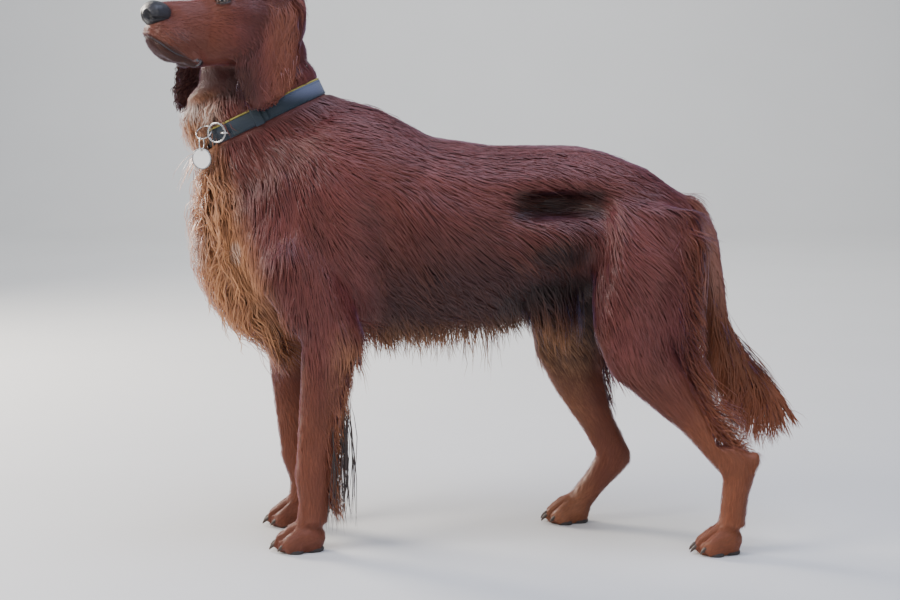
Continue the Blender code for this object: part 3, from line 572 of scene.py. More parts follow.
def keep_largest(bm: bmesh.types.BMesh) -> None:
    """Deletes all but the largest connected shell."""
    left, shells = set(bm.verts), []
    while left:
        shell, edge = set(), [left.pop()]
        while edge:
            vertex = edge.pop()
            shell.add(vertex)
            for link in vertex.link_edges:
                other = link.other_vert(vertex)
                if other in left:
                    left.discard(other)
                    edge.append(other)
        shells.append(shell)
    shells.sort(key=len)
    small = [vertex for shell in shells[:-1] for vertex in shell]
    bmesh.ops.delete(bm, geom=small, context="VERTS")


# --- the skin ---------------------------------------------------------------------------------------
HEAD_NODES = ("head", "lower_jaw", "nose", "eye_l", "eye_r")
PAW_NODES = ("forepaw_l", "forepaw_r", "hindpaw_l", "hindpaw_r")
LEG_NODES = (
    "forearm_l", "forearm_r", "fore_pastern_l", "fore_pastern_r",
    "shank_l", "shank_r", "hind_pastern_l", "hind_pastern_r",
)
BODY_NODES = (
    "neck", "trunk", "chest_hair", "shoulder_l", "shoulder_r", "thigh_l", "thigh_r", "tail", "ear_l", "ear_r",
)
FLESH = HEAD_NODES + PAW_NODES + LEG_NODES + BODY_NODES
COAT_DEPTHS = {  # metres from the skin to the tips of the coat
    "head": 0.0026, "lower_jaw": 0.0022, "nose": 0.0030, "eye": 0.0026, "ear": 0.0050, "neck": 0.0100,
    "chest_hair": 0.0200, "trunk": 0.0065, "shoulder": 0.0070, "thigh": 0.0060, "forearm": 0.0034,
    "fore_pastern": 0.0028, "forepaw": 0.0014, "shank": 0.0032, "hind_pastern": 0.0028, "hindpaw": 0.0014,
    "tail": 0.0050,
}
LIES = {  # how the hair lies on the legs and ears: ahead or back, outward, up
    "forearm": (0.16, 0.02, -1.0), "fore_pastern": (0.05, 0.0, -1.0), "forepaw": (-0.80, 0.0, -0.55),
    "shank_l": (0.62, 0.0, -0.78), "shank_r": (0.30, 0.0, -0.95), "hind_pastern_l": (-0.04, 0.0, -1.0),
    "hind_pastern_r": (-0.35, 0.0, -0.93), "hindpaw": (-0.80, 0.0, -0.55),
    "ear_l": (-0.12, 0.05, -1.0), "ear_r": (-0.50, -0.05, -0.86),
}
BODY_GUIDES = np.array([  # place (x, distance from the middle, z), then how the hair lies there
    (-0.235, 0.000, 0.800, 0.35, 0.0, -0.93), (-0.260, 0.055, 0.760, 0.35, 0.1, -0.93),
    (-0.300, 0.050, 0.730, 0.20, 0.1, -0.97), (-0.345, 0.030, 0.720, -0.05, 0.1, -1.0),
    (-0.370, 0.000, 0.700, -0.15, 0.0, -1.0), (-0.360, 0.000, 0.745, -0.10, 0.0, -1.0),
    (-0.300, 0.070, 0.680, 0.50, 0.2, -0.82), (-0.250, 0.060, 0.720, 0.75, 0.1, -0.62),
    (-0.215, 0.000, 0.715, 0.95, 0.0, -0.30), (-0.370, 0.040, 0.620, 0.10, 0.3, -0.95),
    (-0.395, 0.000, 0.600, -0.15, 0.0, -1.0), (-0.405, 0.000, 0.500, -0.02, 0.0, -1.0),
    (-0.375, 0.050, 0.480, 0.10, 0.1, -1.0), (-0.350, 0.030, 0.380, 0.30, 0.0, -0.95),
    (-0.330, 0.085, 0.560, 0.22, 0.1, -0.97), (-0.300, 0.095, 0.480, 0.06, 0.0, -1.0),
    (-0.280, 0.100, 0.410, 0.15, 0.0, -1.0), (-0.250, 0.095, 0.640, 0.62, 0.1, -0.78),
    (-0.220, 0.105, 0.560, 0.52, 0.0, -0.85), (-0.210, 0.110, 0.450, 0.32, 0.0, -0.95),
    (-0.175, 0.115, 0.380, 0.45, 0.0, -0.90), (-0.180, 0.060, 0.690, 0.90, 0.1, -0.40),
    (-0.190, 0.000, 0.700, 1.00, 0.0, -0.05), (-0.100, 0.000, 0.675, 1.0, 0.0, -0.12),
    (-0.100, 0.090, 0.620, 0.90, 0.0, -0.45), (-0.075, 0.115, 0.520, 0.80, 0.0, -0.60),
    (-0.080, 0.115, 0.420, 0.66, 0.0, -0.75), (-0.090, 0.080, 0.350, 0.40, -0.1, -0.90),
    (0.020, 0.000, 0.630, 1.0, 0.0, 0.0), (0.020, 0.100, 0.560, 0.88, 0.0, -0.48),
    (0.020, 0.115, 0.460, 0.66, 0.0, -0.75), (0.020, 0.100, 0.370, 0.36, -0.1, -0.92),
    (0.120, 0.000, 0.626, 1.0, 0.0, 0.0), (0.120, 0.090, 0.570, 0.92, 0.0, -0.38),
    (0.120, 0.105, 0.480, 0.68, 0.0, -0.73), (0.120, 0.080, 0.390, 0.32, -0.1, -0.93),
    (0.190, 0.090, 0.540, 0.85, 0.0, -0.50), (0.170, 0.090, 0.420, 0.42, 0.0, -0.90),
    (0.220, 0.000, 0.620, 1.0, 0.0, -0.05), (0.220, 0.080, 0.580, 0.90, 0.0, -0.45),
    (0.300, 0.000, 0.600, 0.95, 0.0, -0.30), (0.300, 0.070, 0.550, 0.70, 0.0, -0.70),
    (0.360, 0.000, 0.555, 0.80, 0.0, -0.60), (0.370, 0.050, 0.520, 0.40, 0.0, -0.92),
    (0.215, 0.110, 0.460, 0.28, 0.0, -0.96), (0.260, 0.120, 0.400, 0.42, 0.0, -0.91),
    (0.320, 0.115, 0.450, 0.52, 0.0, -0.85), (0.360, 0.100, 0.400, 0.40, 0.0, -0.92),
    (0.240, 0.120, 0.330, 0.50, 0.0, -0.86), (0.310, 0.120, 0.300, 0.62, 0.0, -0.78),
    (-0.200, 0.000, 0.345, 0.9, 0.0, -0.40), (0.000, 0.000, 0.350, 0.8, 0.0, -0.50),
    (0.150, 0.000, 0.400, 0.7, 0.0, -0.60),
    (0.400, 0.000, 0.460, 0.25, 0.0, -0.97), (0.420, 0.000, 0.400, 0.2, 0.0, -0.98),
    (0.435, 0.000, 0.340, 0.35, 0.0, -0.94), (0.460, 0.000, 0.295, 0.6, 0.0, -0.80),
    (0.500, 0.000, 0.250, 0.68, 0.0, -0.73), (0.530, 0.000, 0.210, 0.5, 0.0, -0.86),
])
HEAD_GUIDES = np.array([  # the same, in the head's own frame
    (-0.250, 0.010, 0.012, 1.0, 0.3, 0.2), (-0.225, 0.000, 0.024, 1.0, 0.0, 0.1),
    (-0.225, 0.028, -0.010, 0.95, 0.1, -0.15), (-0.225, 0.028, -0.045, 0.85, 0.05, -0.45),
    (-0.245, 0.012, -0.050, 0.5, 0.3, -0.7), (-0.190, 0.032, -0.030, 0.9, 0.1, -0.3),
    (-0.190, 0.030, -0.060, 0.8, 0.1, -0.55), (-0.165, 0.034, 0.000, 0.95, 0.2, -0.1),
    (-0.150, 0.000, 0.040, 0.9, 0.0, 0.45), (-0.150, 0.020, 0.035, 0.8, 0.2, 0.5),
    (-0.135, 0.020, 0.050, 0.85, 0.25, 0.3), (-0.100, 0.000, 0.062, 1.0, 0.0, 0.05),
    (-0.100, 0.035, 0.055, 0.95, 0.25, -0.1), (-0.050, 0.000, 0.065, 1.0, 0.0, 0.0),
    (-0.050, 0.045, 0.045, 0.9, 0.3, -0.35), (-0.120, 0.045, 0.010, 0.95, 0.25, -0.2),
    (-0.110, 0.050, -0.030, 0.85, 0.1, -0.5), (-0.070, 0.055, -0.030, 0.75, 0.1, -0.65),
    (-0.150, 0.035, -0.050, 0.8, 0.1, -0.6), (-0.120, 0.030, -0.070, 0.85, 0.0, -0.4),
    (-0.200, 0.000, -0.070, 1.0, 0.0, -0.1), (-0.060, 0.000, -0.070, 0.8, 0.0, -0.6),
    (0.000, 0.000, 0.050, 0.6, 0.0, -0.8), (0.000, 0.040, 0.020, 0.5, 0.2, -0.85),
])
HEAD_MOVES = (  # place in the head's frame, reach along its axes, and how far the skin moves out there
    ((-0.150, 0.022, 0.006), (0.022, 0.012, 0.011), -0.0022),  # chiselling under the eye
    ((-0.152, 0.000, 0.036), (0.018, 0.015, 0.016), -0.0022),  # stop
    ((-0.136, 0.026, 0.042), (0.016, 0.012, 0.009), 0.0022),  # brow
    ((-0.105, 0.052, 0.008), (0.030, 0.016, 0.011), 0.0022),  # cheekbone
    ((-0.085, 0.042, 0.050), (0.026, 0.018, 0.016), -0.0022),  # temple
    ((-0.100, 0.000, 0.062), (0.048, 0.006, 0.012), -0.0016),  # furrow of the skull
    ((-0.205, 0.019, 0.016), (0.040, 0.006, 0.009), -0.0013),  # beside the bridge
    ((-0.230, 0.024, 0.005), (0.016, 0.014, 0.014), -0.0070),  # behind the nose's wing
    ((-0.256, 0.006, 0.003), (0.016, 0.022, 0.015), -0.0100),  # room for the nostrils
    ((-0.222, 0.026, -0.030), (0.022, 0.012, 0.016), 0.0030),  # whisker bed
    ((-0.250, 0.000, -0.028), (0.012, 0.022, 0.012), 0.0040),  # upper lip under the nose
    ((-0.212, 0.028, -0.046), (0.030, 0.014, 0.014), 0.0042),  # flews
    ((-0.238, 0.010, -0.058), (0.020, 0.016, 0.010), -0.0015),  # chin, behind the upper lip
    ((-0.205, 0.018, -0.076), (0.034, 0.018, 0.009), 0.0030),  # under the jaw
    ((-0.168, 0.036, -0.046), (0.010, 0.012, 0.020), -0.0026),  # fold behind the flews
    ((-0.186, 0.034, -0.060), (0.016, 0.012, 0.010), 0.0020),  # hanging corner of the lip
    ((-0.125, 0.046, 0.026), (0.008, 0.010, 0.008), -0.0012),  # outer corner of the eye
)
MOUTH_LINE = (  # from under the nose back to the corner of the lips, in the head's frame
    (-0.2530, 0.002, -0.0290), (-0.2500, 0.014, -0.0330), (-0.2400, 0.0235, -0.0410),
    (-0.2220, 0.0280, -0.0520), (-0.2050, 0.0300, -0.0605), (-0.1900, 0.0305, -0.0655),
    (-0.1780, 0.0315, -0.0640),
)
BODY_MOVES = (  # the same in the body's frame
    ((0.168, 0.105, 0.539), (0.066, 0.060, 0.020), -0.0300),  # hollow of the flank
    ((0.160, 0.085, 0.574), (0.070, 0.050, 0.011), 0.0045),  # edge of the loin over it
    ((0.162, 0.105, 0.500), (0.050, 0.060, 0.015), 0.0190),  # fold before the thigh
    ((0.095, 0.105, 0.472), (0.022, 0.060, 0.022), 0.0070),  # its front end
    ((0.068, 0.105, 0.508), (0.026, 0.060, 0.022), -0.0050),
    ((0.165, 0.100, 0.445), (0.060, 0.060, 0.014), -0.0060),
    ((0.236, 0.105, 0.470), (0.010, 0.060, 0.070), -0.0080),  # edge of the thigh
    ((0.260, 0.110, 0.470), (0.022, 0.060, 0.080), 0.0040),
    ((-0.108, 0.115, 0.460), (0.013, 0.060, 0.090), -0.0085),  # crease behind the shoulder
    ((-0.165, 0.110, 0.500), (0.036, 0.060, 0.075), 0.0060),  # shoulder
    ((-0.235, 0.100, 0.540), (0.012, 0.060, 0.060), -0.0040),
    ((-0.160, 0.105, 0.345), (0.020, 0.040, 0.020), 0.0060),  # elbow
    ((-0.030, 0.115, 0.500), (0.090, 0.060, 0.060), 0.0040),  # ribs
    ((-0.020, 0.110, 0.400), (0.100, 0.060, 0.030), -0.0040),
    ((0.345, 0.095, 0.440), (0.014, 0.050, 0.090), -0.0050),  # groove between the thigh's muscles
    ((0.300, 0.070, 0.560), (0.016, 0.050, 0.018), -0.0045),  # below the hip
)
COLLAR_BACK = (-0.200, 0.716)  # x and z in the body's frame
COLLAR_FRONT = (-0.378, 0.632)


@dataclass(frozen=True)
class CollarPath:
    """The level oval that the strap follows, and distances from it."""

    half_width: float = 0.068
    thick: float = 0.004
    deep: float = 0.025

    @property
    def middle(self) -> Vector:
        """The oval's centre."""
        x = (COLLAR_BACK[0] + COLLAR_FRONT[0]) / 2
        return ANATOMY.in_body(x, 0, (COLLAR_BACK[1] + COLLAR_FRONT[1]) / 2)

    @property
    def ahead(self) -> Vector:
        """From the nape to the throat."""
        return Vector((COLLAR_FRONT[0] - COLLAR_BACK[0], 0, COLLAR_FRONT[1] - COLLAR_BACK[1]))

    @property
    def up(self) -> Vector:
        """Square to the oval, towards the head."""
        across = Vector((0, 1, 0)).cross(self.ahead.normalized())
        return across if across.z > 0 else -across

    def point(self, turn: float, out: float = 0.0, high: float = 0.0) -> Vector:
        """A point of the strap.

        Args:
            turn: angle from the throat round to the dog's left.
            out: distance outward from the strap's middle.
            high: distance towards the head.

        Returns:
            The point in the shared frame.
        """
        at = self.ahead.normalized() * math.cos(turn) * (self.ahead.length / 2 + out)
        at += Vector((0, -1, 0)) * math.sin(turn) * (self.half_width + out)
        return self.middle + at + self.up * high

    def heights(self, points: np.ndarray) -> np.ndarray:
        """How far points lie above the strap's middle plane, towards the head."""
        return (points - np.array(self.middle)) @ np.array(self.up)

    def near(self, points: np.ndarray) -> np.ndarray:
        """Whether points are near enough to the oval for its plane to matter."""
        return np.linalg.norm(points - np.array(self.middle), axis=-1) < 0.15


COLLAR_PATH = CollarPath()


@dataclass(frozen=True)
class Paw:
    """One paw: where it stands and where its toes are."""

    node: str

    @property
    def scale(self) -> float:
        """The hind paws are a little smaller."""
        return 0.92 if self.node.startswith("hind") else 1.0

    @property
    def middle(self) -> Vector:
        """The middle of the sole."""
        low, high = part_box(self.node)
        return Vector((low.x + CLAWS_AHEAD * self.scale, (low.y + high.y) / 2, 0))

    def grooved(self, points: np.ndarray) -> np.ndarray:
        """How far out the skin moves for the toes and the grooves between them."""
        at = (points - np.array(self.middle)) / self.scale
        near = (np.abs(at) < (0.065, 0.045, 0.055)).all(axis=1) * rise(at[:, 2], 0.002, 0.010)
        front = rise(at[:, 0], -0.004, -0.022)
        move = np.zeros(len(points))
        for aside in (-0.0155, 0.0, 0.0155):
            move -= 0.0042 * np.exp(-(((at[:, 1] - aside) / 0.0024) ** 2)) * front
        for ahead, aside, _ in TOES:
            far = ((at[:, 0] - ahead) / 0.012) ** 2 + ((np.abs(at[:, 1]) - aside) / 0.0062) ** 2
            move += 0.0022 * np.exp(-far)
        return move * near


TOES = ((-0.030, 0.0085, 0.0190), (-0.017, 0.0225, 0.0175))  # ahead, aside and length of each pair
CLAWS_AHEAD = 0.0541  # from the claws' tips to the middle of a full-size paw
PAWS = tuple(Paw(node) for node in PAW_NODES)


class PartMap:
    """Tells which CAD node a point is nearest to."""

    def __init__(self, nodes: Sequence[str]) -> None:
        """Gathers the nodes' faces in one search tree.

        Args:
            nodes: the nodes to tell apart.
        """
        self.names = list(nodes)
        points, faces, self.owner = [], [], []
        for k, name in enumerate(self.names):
            co, corners = mesh_arrays(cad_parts[name].data)
            faces.append(corners + sum(len(p) for p in points))
            points.append(co)
            self.owner += [k] * len(corners)
        joined = np.concatenate(points).tolist(), np.concatenate(faces).tolist()
        self.tree = BVHTree.FromPolygons(*joined, all_triangles=True)

    def labels(self, points: np.ndarray) -> np.ndarray:
        """The number of the nearest node for each point."""
        return np.array([self.owner[self.tree.find_nearest(p)[2]] for p in points.tolist()], np.int32)

    def among(self, labels: np.ndarray, *starts: str) -> np.ndarray:
        """Whether each label is a node whose name begins with one of the words."""
        wanted = [k for k, name in enumerate(self.names) if name.startswith(starts)]
        return np.isin(labels, wanted)


class Ground:
    """The finished skin as something to root hair on."""

    def __init__(self, points: np.ndarray, triangles: np.ndarray, normals: np.ndarray) -> None:
        """Prepares the search tree.

        Args:
            points: the skin's points.
            triangles: its triangles.
            normals: its point normals.
        """
        self.points = points
        self.triangles = triangles
        self.soft = unit(normals[triangles].mean(axis=1))
        self.tree = BVHTree.FromPolygons(points.tolist(), triangles.tolist(), all_triangles=True)
        a, b, c = (points[triangles[:, k]] for k in range(3))
        self.areas = np.linalg.norm(np.cross(b - a, c - a), axis=1) / 2
        self.lie = np.zeros_like(self.soft)
        self.depth = np.zeros(len(triangles))
        self.part = np.zeros(len(triangles), np.int32)

    def nearest(self, points: np.ndarray) -> Tuple[np.ndarray, np.ndarray, np.ndarray]:
        """The skin's nearest points.

        Args:
            points: where to look from.

        Returns:
            Nearest places, their triangles and the distances.
        """
        found = [self.tree.find_nearest(p) for p in points.tolist()]
        near = np.array([f[0][:] for f in found])
        return near, np.array([f[2] for f in found], np.int32), np.array([f[3] for f in found])

    def middles(self) -> np.ndarray:
        """The triangles' middles."""
        return self.points[self.triangles].mean(axis=1)


@dataclass
class Hide:
    """The one skin of the animal: it fills the flesh nodes up to the depth of the coat."""

    voxel: float = 0.0046
    fine_voxel: float = 0.0022
    paw_voxel: float = 0.0018
    grow: float = 0.0006
    parts: PartMap = field(default_factory=lambda: PartMap(FLESH))

    def build(self) -> bpy.types.Object:
        """Blends, refines, fairs, sinks and sculpts the skin.

        Returns:
            The skin's object.
        """
        self.skin = blended_nodes("skin", FLESH, self.grow, self.voxel)
        self.refine()
        mesh = self.skin.data
        web = Web(mesh)
        points, _ = mesh_arrays(mesh)
        labels = self.parts.labels(points)
        head = self.parts.among(labels, "head", "lower_jaw", "nose", "eye").astype(float)
        paws = self.parts.among(labels, "forepaw", "hindpaw").astype(float)
        points = self.snapped(points, web, head, HEAD_NODES + ("neck",), self.fine_voxel)
        points = self.snapped(points, web, paws, PAW_NODES + LEG_NODES, self.paw_voxel)
        broad = web.even(1 - np.maximum(head, paws), 3)
        points = web.faired(points, 45, broad)
        points = web.faired(points, 14, web.even(head, 3))
        points = web.faired(points, 3, web.even(paws, 2))
        self.labels = labels
        points = self.sunk(points, web, labels)
        points = self.sculpted(points, web)
        points[:, 2] = np.maximum(points[:, 2], 0.0006)
        self.store(points)
        self.make_ground(web)
        return self.skin

    def refine(self) -> None:
        """Splits the faces of the face and paws once, so that they can hold small forms."""
        points, _ = mesh_arrays(self.skin.data)
        labels = self.parts.labels(points)
        fine = self.parts.among(labels, "head", "lower_jaw", "nose", "eye", "forepaw", "hindpaw")
        bm = bmesh.new()
        bm.from_mesh(self.skin.data)
        bm.verts.ensure_lookup_table()
        edges = [e for e in bm.edges if fine[e.verts[0].index] and fine[e.verts[1].index]]
        bmesh.ops.subdivide_edges(bm, edges=edges, cuts=1, use_grid_fill=True)
        bmesh.ops.triangulate(bm, faces=[f for f in bm.faces if len(f.verts) > 4])
        bm.to_mesh(self.skin.data)
        bm.free()

    def snapped(
        self, points: np.ndarray, web: Web, share: np.ndarray, nodes: Sequence[str], voxel: float
    ) -> np.ndarray:
        """Moves the points of some parts on to a finer blend of the same nodes.

        Args:
            points: the skin's points.
            web: its edges.
            share: 1 on the parts' points.
            nodes: the nodes to blend.
            voxel: the finer grain.

        Returns:
            The moved points.
        """
        model = blended_nodes("model", nodes, self.grow, voxel, one_shell=False)
        co, corners = mesh_arrays(model.data)
        tree = BVHTree.FromPolygons(co.tolist(), corners.tolist(), all_triangles=True)
        remove(model)
        inside = share.copy()
        for _ in range(3):
            inside = np.minimum(inside, web.mean(inside))
        chosen = np.nonzero(inside > 0.01)[0]
        near = np.array([tree.find_nearest(p)[0][:] for p in points[chosen].tolist()])
        points = points.copy()
        points[chosen] += (near - points[chosen]) * inside[chosen, None]
        return points

    def sunk(self, points: np.ndarray, web: Web, labels: np.ndarray) -> np.ndarray:
        """Moves the skin in by the depth of the coat, less where the body is thin or the collar presses.

        Args:
            points: the faired points.
            web: the skin's edges.
            labels: each point's node.

        Returns:
            The skin's points.
        """
        depth = np.zeros(len(points))
        for k, name in enumerate(self.parts.names):
            start = next(s for s in COAT_DEPTHS if name.startswith(s))
            depth[labels == k] = COAT_DEPTHS[start]
        depth = web.even(depth, 10)
        high = COLLAR_PATH.heights(points)
        pressed = (1 - rise(np.abs(high), 0.014, 0.040)) * COLLAR_PATH.near(points)
        pressed = pressed * self.parts.among(labels, "neck", "trunk", "chest", "shoulder")
        depth = depth * (1 - pressed) + 0.0025 * pressed
        depth = web.even(np.minimum(depth, self.thickness(points, 0.08) * 0.34), 6)
        self.depth = depth
        for _ in range(3):
            normals = unit(web.even(self.normals(points), 3))
            points = points - normals * (depth / 3)[:, None]
            points = web.faired(points, 1, np.where(depth > 0.003, 1.0, 0.2))
        return points

    def thickness(self, points: np.ndarray, most: float) -> np.ndarray:
        """How far through the body it is straight in from each point.

        Args:
            points: the skin's points.
            most: how far to look.

        Returns:
            The distances, `most` where nothing is met.
        """
        normals = self.normals(points)
        triangles = mesh_arrays(self.skin.data)[1]
        tree = BVHTree.FromPolygons(points.tolist(), triangles.tolist(), all_triangles=True)
        starts = (points - normals * 0.0004).tolist()
        hits = [tree.ray_cast(start, way, most)[3] for start, way in zip(starts, (-normals).tolist())]
        return np.array([most if hit is None else hit for hit in hits])

    def normals(self, points: np.ndarray) -> np.ndarray:
        """The point normals that the skin has with these points."""
        self.store(points)
        normals = np.zeros(len(points) * 3)
        self.skin.data.vertex_normals.foreach_get("vector", normals)
        return normals.reshape(-1, 3)

    def store(self, points: np.ndarray) -> None:
        """Writes points back to the skin's mesh."""
        self.skin.data.vertices.foreach_set("co", points.ravel())
        self.skin.data.update()

    def sculpted(self, points: np.ndarray, web: Web) -> np.ndarray:
        """Presses the head's small forms, the mouth's line and the eyes' hollows into the skin.

        Args:
            points: the skin's points.
            web: its edges.

        Returns:
            The sculpted points.
        """
        normals = self.normals(points)
        local = ANATOMY.head_points(points)
        folded = local.copy()
        folded[:, 1] = np.abs(folded[:, 1])
        body = ANATOMY.body_points(points)
        body[:, 1] = np.abs(body[:, 1])
        soft = self.parts.among(self.labels, "trunk", "shoulder", "thigh", "neck").astype(float)
        soft = web.even(soft, 6)
        move = np.zeros(len(points))
        for place, reach, amount in BODY_MOVES:
            move += amount * np.exp(-np.sum(((body - place) / reach) ** 2, axis=1)) * soft
        for paw in PAWS:
            move += paw.grooved(points)
        for place, reach, amount in HEAD_MOVES:
            far = np.sum(((folded - place) / reach) ** 2, axis=1)
            move += amount * np.exp(-far)
        line = self.line_distance(folded)
        self.lip = np.exp(-((line / 0.0022) ** 2)) * (local[:, 0] < -0.15)
        move -= 0.0026 * self.lip
        self.lip = np.maximum(self.lip, self.corner_share(folded))
        points = points + normals * move[:, None]
        for eye in EYES:
            points = eye.hollowed(points)
        return points

    @staticmethod
    def corner_share(folded: np.ndarray) -> np.ndarray:
        """How bare the skin is round the corners of the lips."""
        return np.exp(-np.sum(((folded - (-0.178, 0.032, -0.071)) / (0.011, 0.014, 0.010)) ** 2, axis=1) ** 2)

    @staticmethod
    def line_distance(folded: np.ndarray) -> np.ndarray:
        """How far points of the head's frame are from the line of the mouth."""
        least = np.full(len(folded), 1.0)
        for a, b in zip(np.array(MOUTH_LINE[:-1]), np.array(MOUTH_LINE[1:])):
            along = np.clip(((folded - a) @ (b - a)) / ((b - a) @ (b - a)), 0, 1)
            least = np.minimum(least, np.linalg.norm(folded - a - along[:, None] * (b - a), axis=1))
        return least

    def comb(self, points: np.ndarray, normals: np.ndarray, web: Web) -> np.ndarray:
        """The lie of the hair at each point of the skin.

        Args:
            points: the skin's points.
            normals: their normals.
            web: the skin's edges.

        Returns:
            One unit vector for each point, in the skin's plane.
        """
        lie = self.guided(ANATOMY.body_points(points), BODY_GUIDES)
        turn = np.array(ANATOMY.head)[:3, :3]
        face = self.guided(ANATOMY.head_points(points), HEAD_GUIDES) @ turn.T
        head = self.parts.among(self.labels, "head", "lower_jaw", "nose", "eye")
        lie[head] = face[head]
        side = np.sign(points[:, 1])
        for start, way in LIES.items():
            chosen = self.parts.among(self.labels, start)
            lie[chosen] = way
            lie[chosen, 1] *= side[chosen]
        legs = self.parts.among(self.labels, "forearm", "shank")
        lie[legs, 0] += 0.35 * np.clip(normals[legs, 0], 0, 1)
        lie = flattened(web.even(flattened(lie, normals), 14), normals)
        across = np.cross(normals, lie)
        sway = np.where(head, 0.10, 0.22) * swell(points, 0.11, 3)
        sway += np.where(head, 0, 0.12) * swell(points, 0.045, 4)
        return unit(lie + across * sway[:, None])

    @staticmethod
    def guided(points: np.ndarray, guides: np.ndarray) -> np.ndarray:
        """The guides' directions blended by nearness, mirrored on the other side."""
        side = np.where(points[:, 1] < 0, -1.0, 1.0)
        folded = points * (1, 1, 1)
        folded[:, 1] = np.abs(folded[:, 1])
        total = np.zeros_like(points)
        for guide in guides:
            far = np.sum((folded - guide[:3]) ** 2, axis=1)
            total += guide[3:] / (far[:, None] + 0.0002) ** 2
        total[:, 1] *= side
        return unit(total)

    def make_ground(self, web: Web) -> None:
        """Stores the lie of the hair on the skin and prepares the ground for the coat."""
        points, triangles = mesh_arrays(self.skin.data)
        normals = self.normals(points)
        lie = self.comb(points, normals, web)
        self.attribute("lie", "FLOAT_VECTOR", lie)
        self.attribute("lip", "FLOAT", self.lip)
        self.attribute("gilt", "FLOAT", 1.0 - self.parts.among(self.labels, "ear"))
        self.ground = Ground(points, triangles, normals)
        self.ground.lie = flattened(lie[triangles].mean(axis=1), self.ground.soft)
        self.ground.depth = self.depth[triangles].mean(axis=1)
        self.ground.part = self.labels[triangles[:, 0]]

    def attribute(self, name: str, kind: str, values: np.ndarray) -> None:
        """Stores a value for each point of the skin."""
        made = self.skin.data.attributes.new(name, kind, "POINT")
        made.data.foreach_set("vector" if kind == "FLOAT_VECTOR" else "value", values.ravel())

    def dress(self, material: bpy.types.Material) -> None:
        """Gives the skin its finish and lets it stand for the flesh."""
        for polygon in self.skin.data.polygons:
            polygon.use_smooth = True
        finished(self.skin, material)
        flesh = [name for name in FLESH if not name.startswith(("eye", "nose"))]
        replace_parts(self.skin, *flesh)


# --- the eyes ---------------------------------------------------------------------------------------
@dataclass(frozen=True)
class Eye:
    """One eye with its lids."""

    side: Side
    radius: float = 0.0115
    half_long: float = 0.0108
    half_high: float = 0.0064

    @property
    def middle(self) -> Vector:
        """The eyeball's centre."""
        return node_middle("eye_" + self.side.tag)

    def axes(self) -> Matrix:
        """The eye's own frame: x out of the eye, y towards the outer corner, z up."""
        way = Vector((-0.62, 0.76 * self.side.value, 0.14))
        out = (ANATOMY.head.to_3x3() @ way).normalized()
        up = (Vector((0, 0, 1)) - out * out.z).normalized()
        back = up.cross(out)
        if (ANATOMY.head.to_3x3() @ Vector((1, 0, 0))).dot(back) < 0:
            back.negate()
        return Matrix((out, back, up)).transposed()

    def local(self, points: np.ndarray) -> np.ndarray:
        """Points of the shared frame, in the eye's own frame."""
        return (points - np.array(self.middle)) @ np.array(self.axes())

    def opening(self, y: np.ndarray, z: np.ndarray) -> np.ndarray:
        """How far out of the almond between the lids a place is: 1 on its edge."""
        high = np.where(z > 0, self.half_high, self.half_high * 0.82)
        return np.sqrt((y / self.half_long) ** 2 + (z / high) ** 2)

    def hollowed(self, points: np.ndarray) -> np.ndarray:
        """Sinks the skin behind the eye's opening, so that the eyeball shows."""
        at = self.local(points)
        near = (at[:, 0] > -0.004) & (np.linalg.norm(at, axis=1) < 0.03)
        out = self.opening(at[:, 1], at[:, 2])
        sink = (1 - rise(out, 0.95, 1.35)) * near
        target = np.minimum(at[:, 0], 0.0035)
        move = (target - at[:, 0]) * sink
        return points + move[:, None] * np.array(self.axes())[:, 0]


EYES = (Eye(Side.LEFT), Eye(Side.RIGHT))


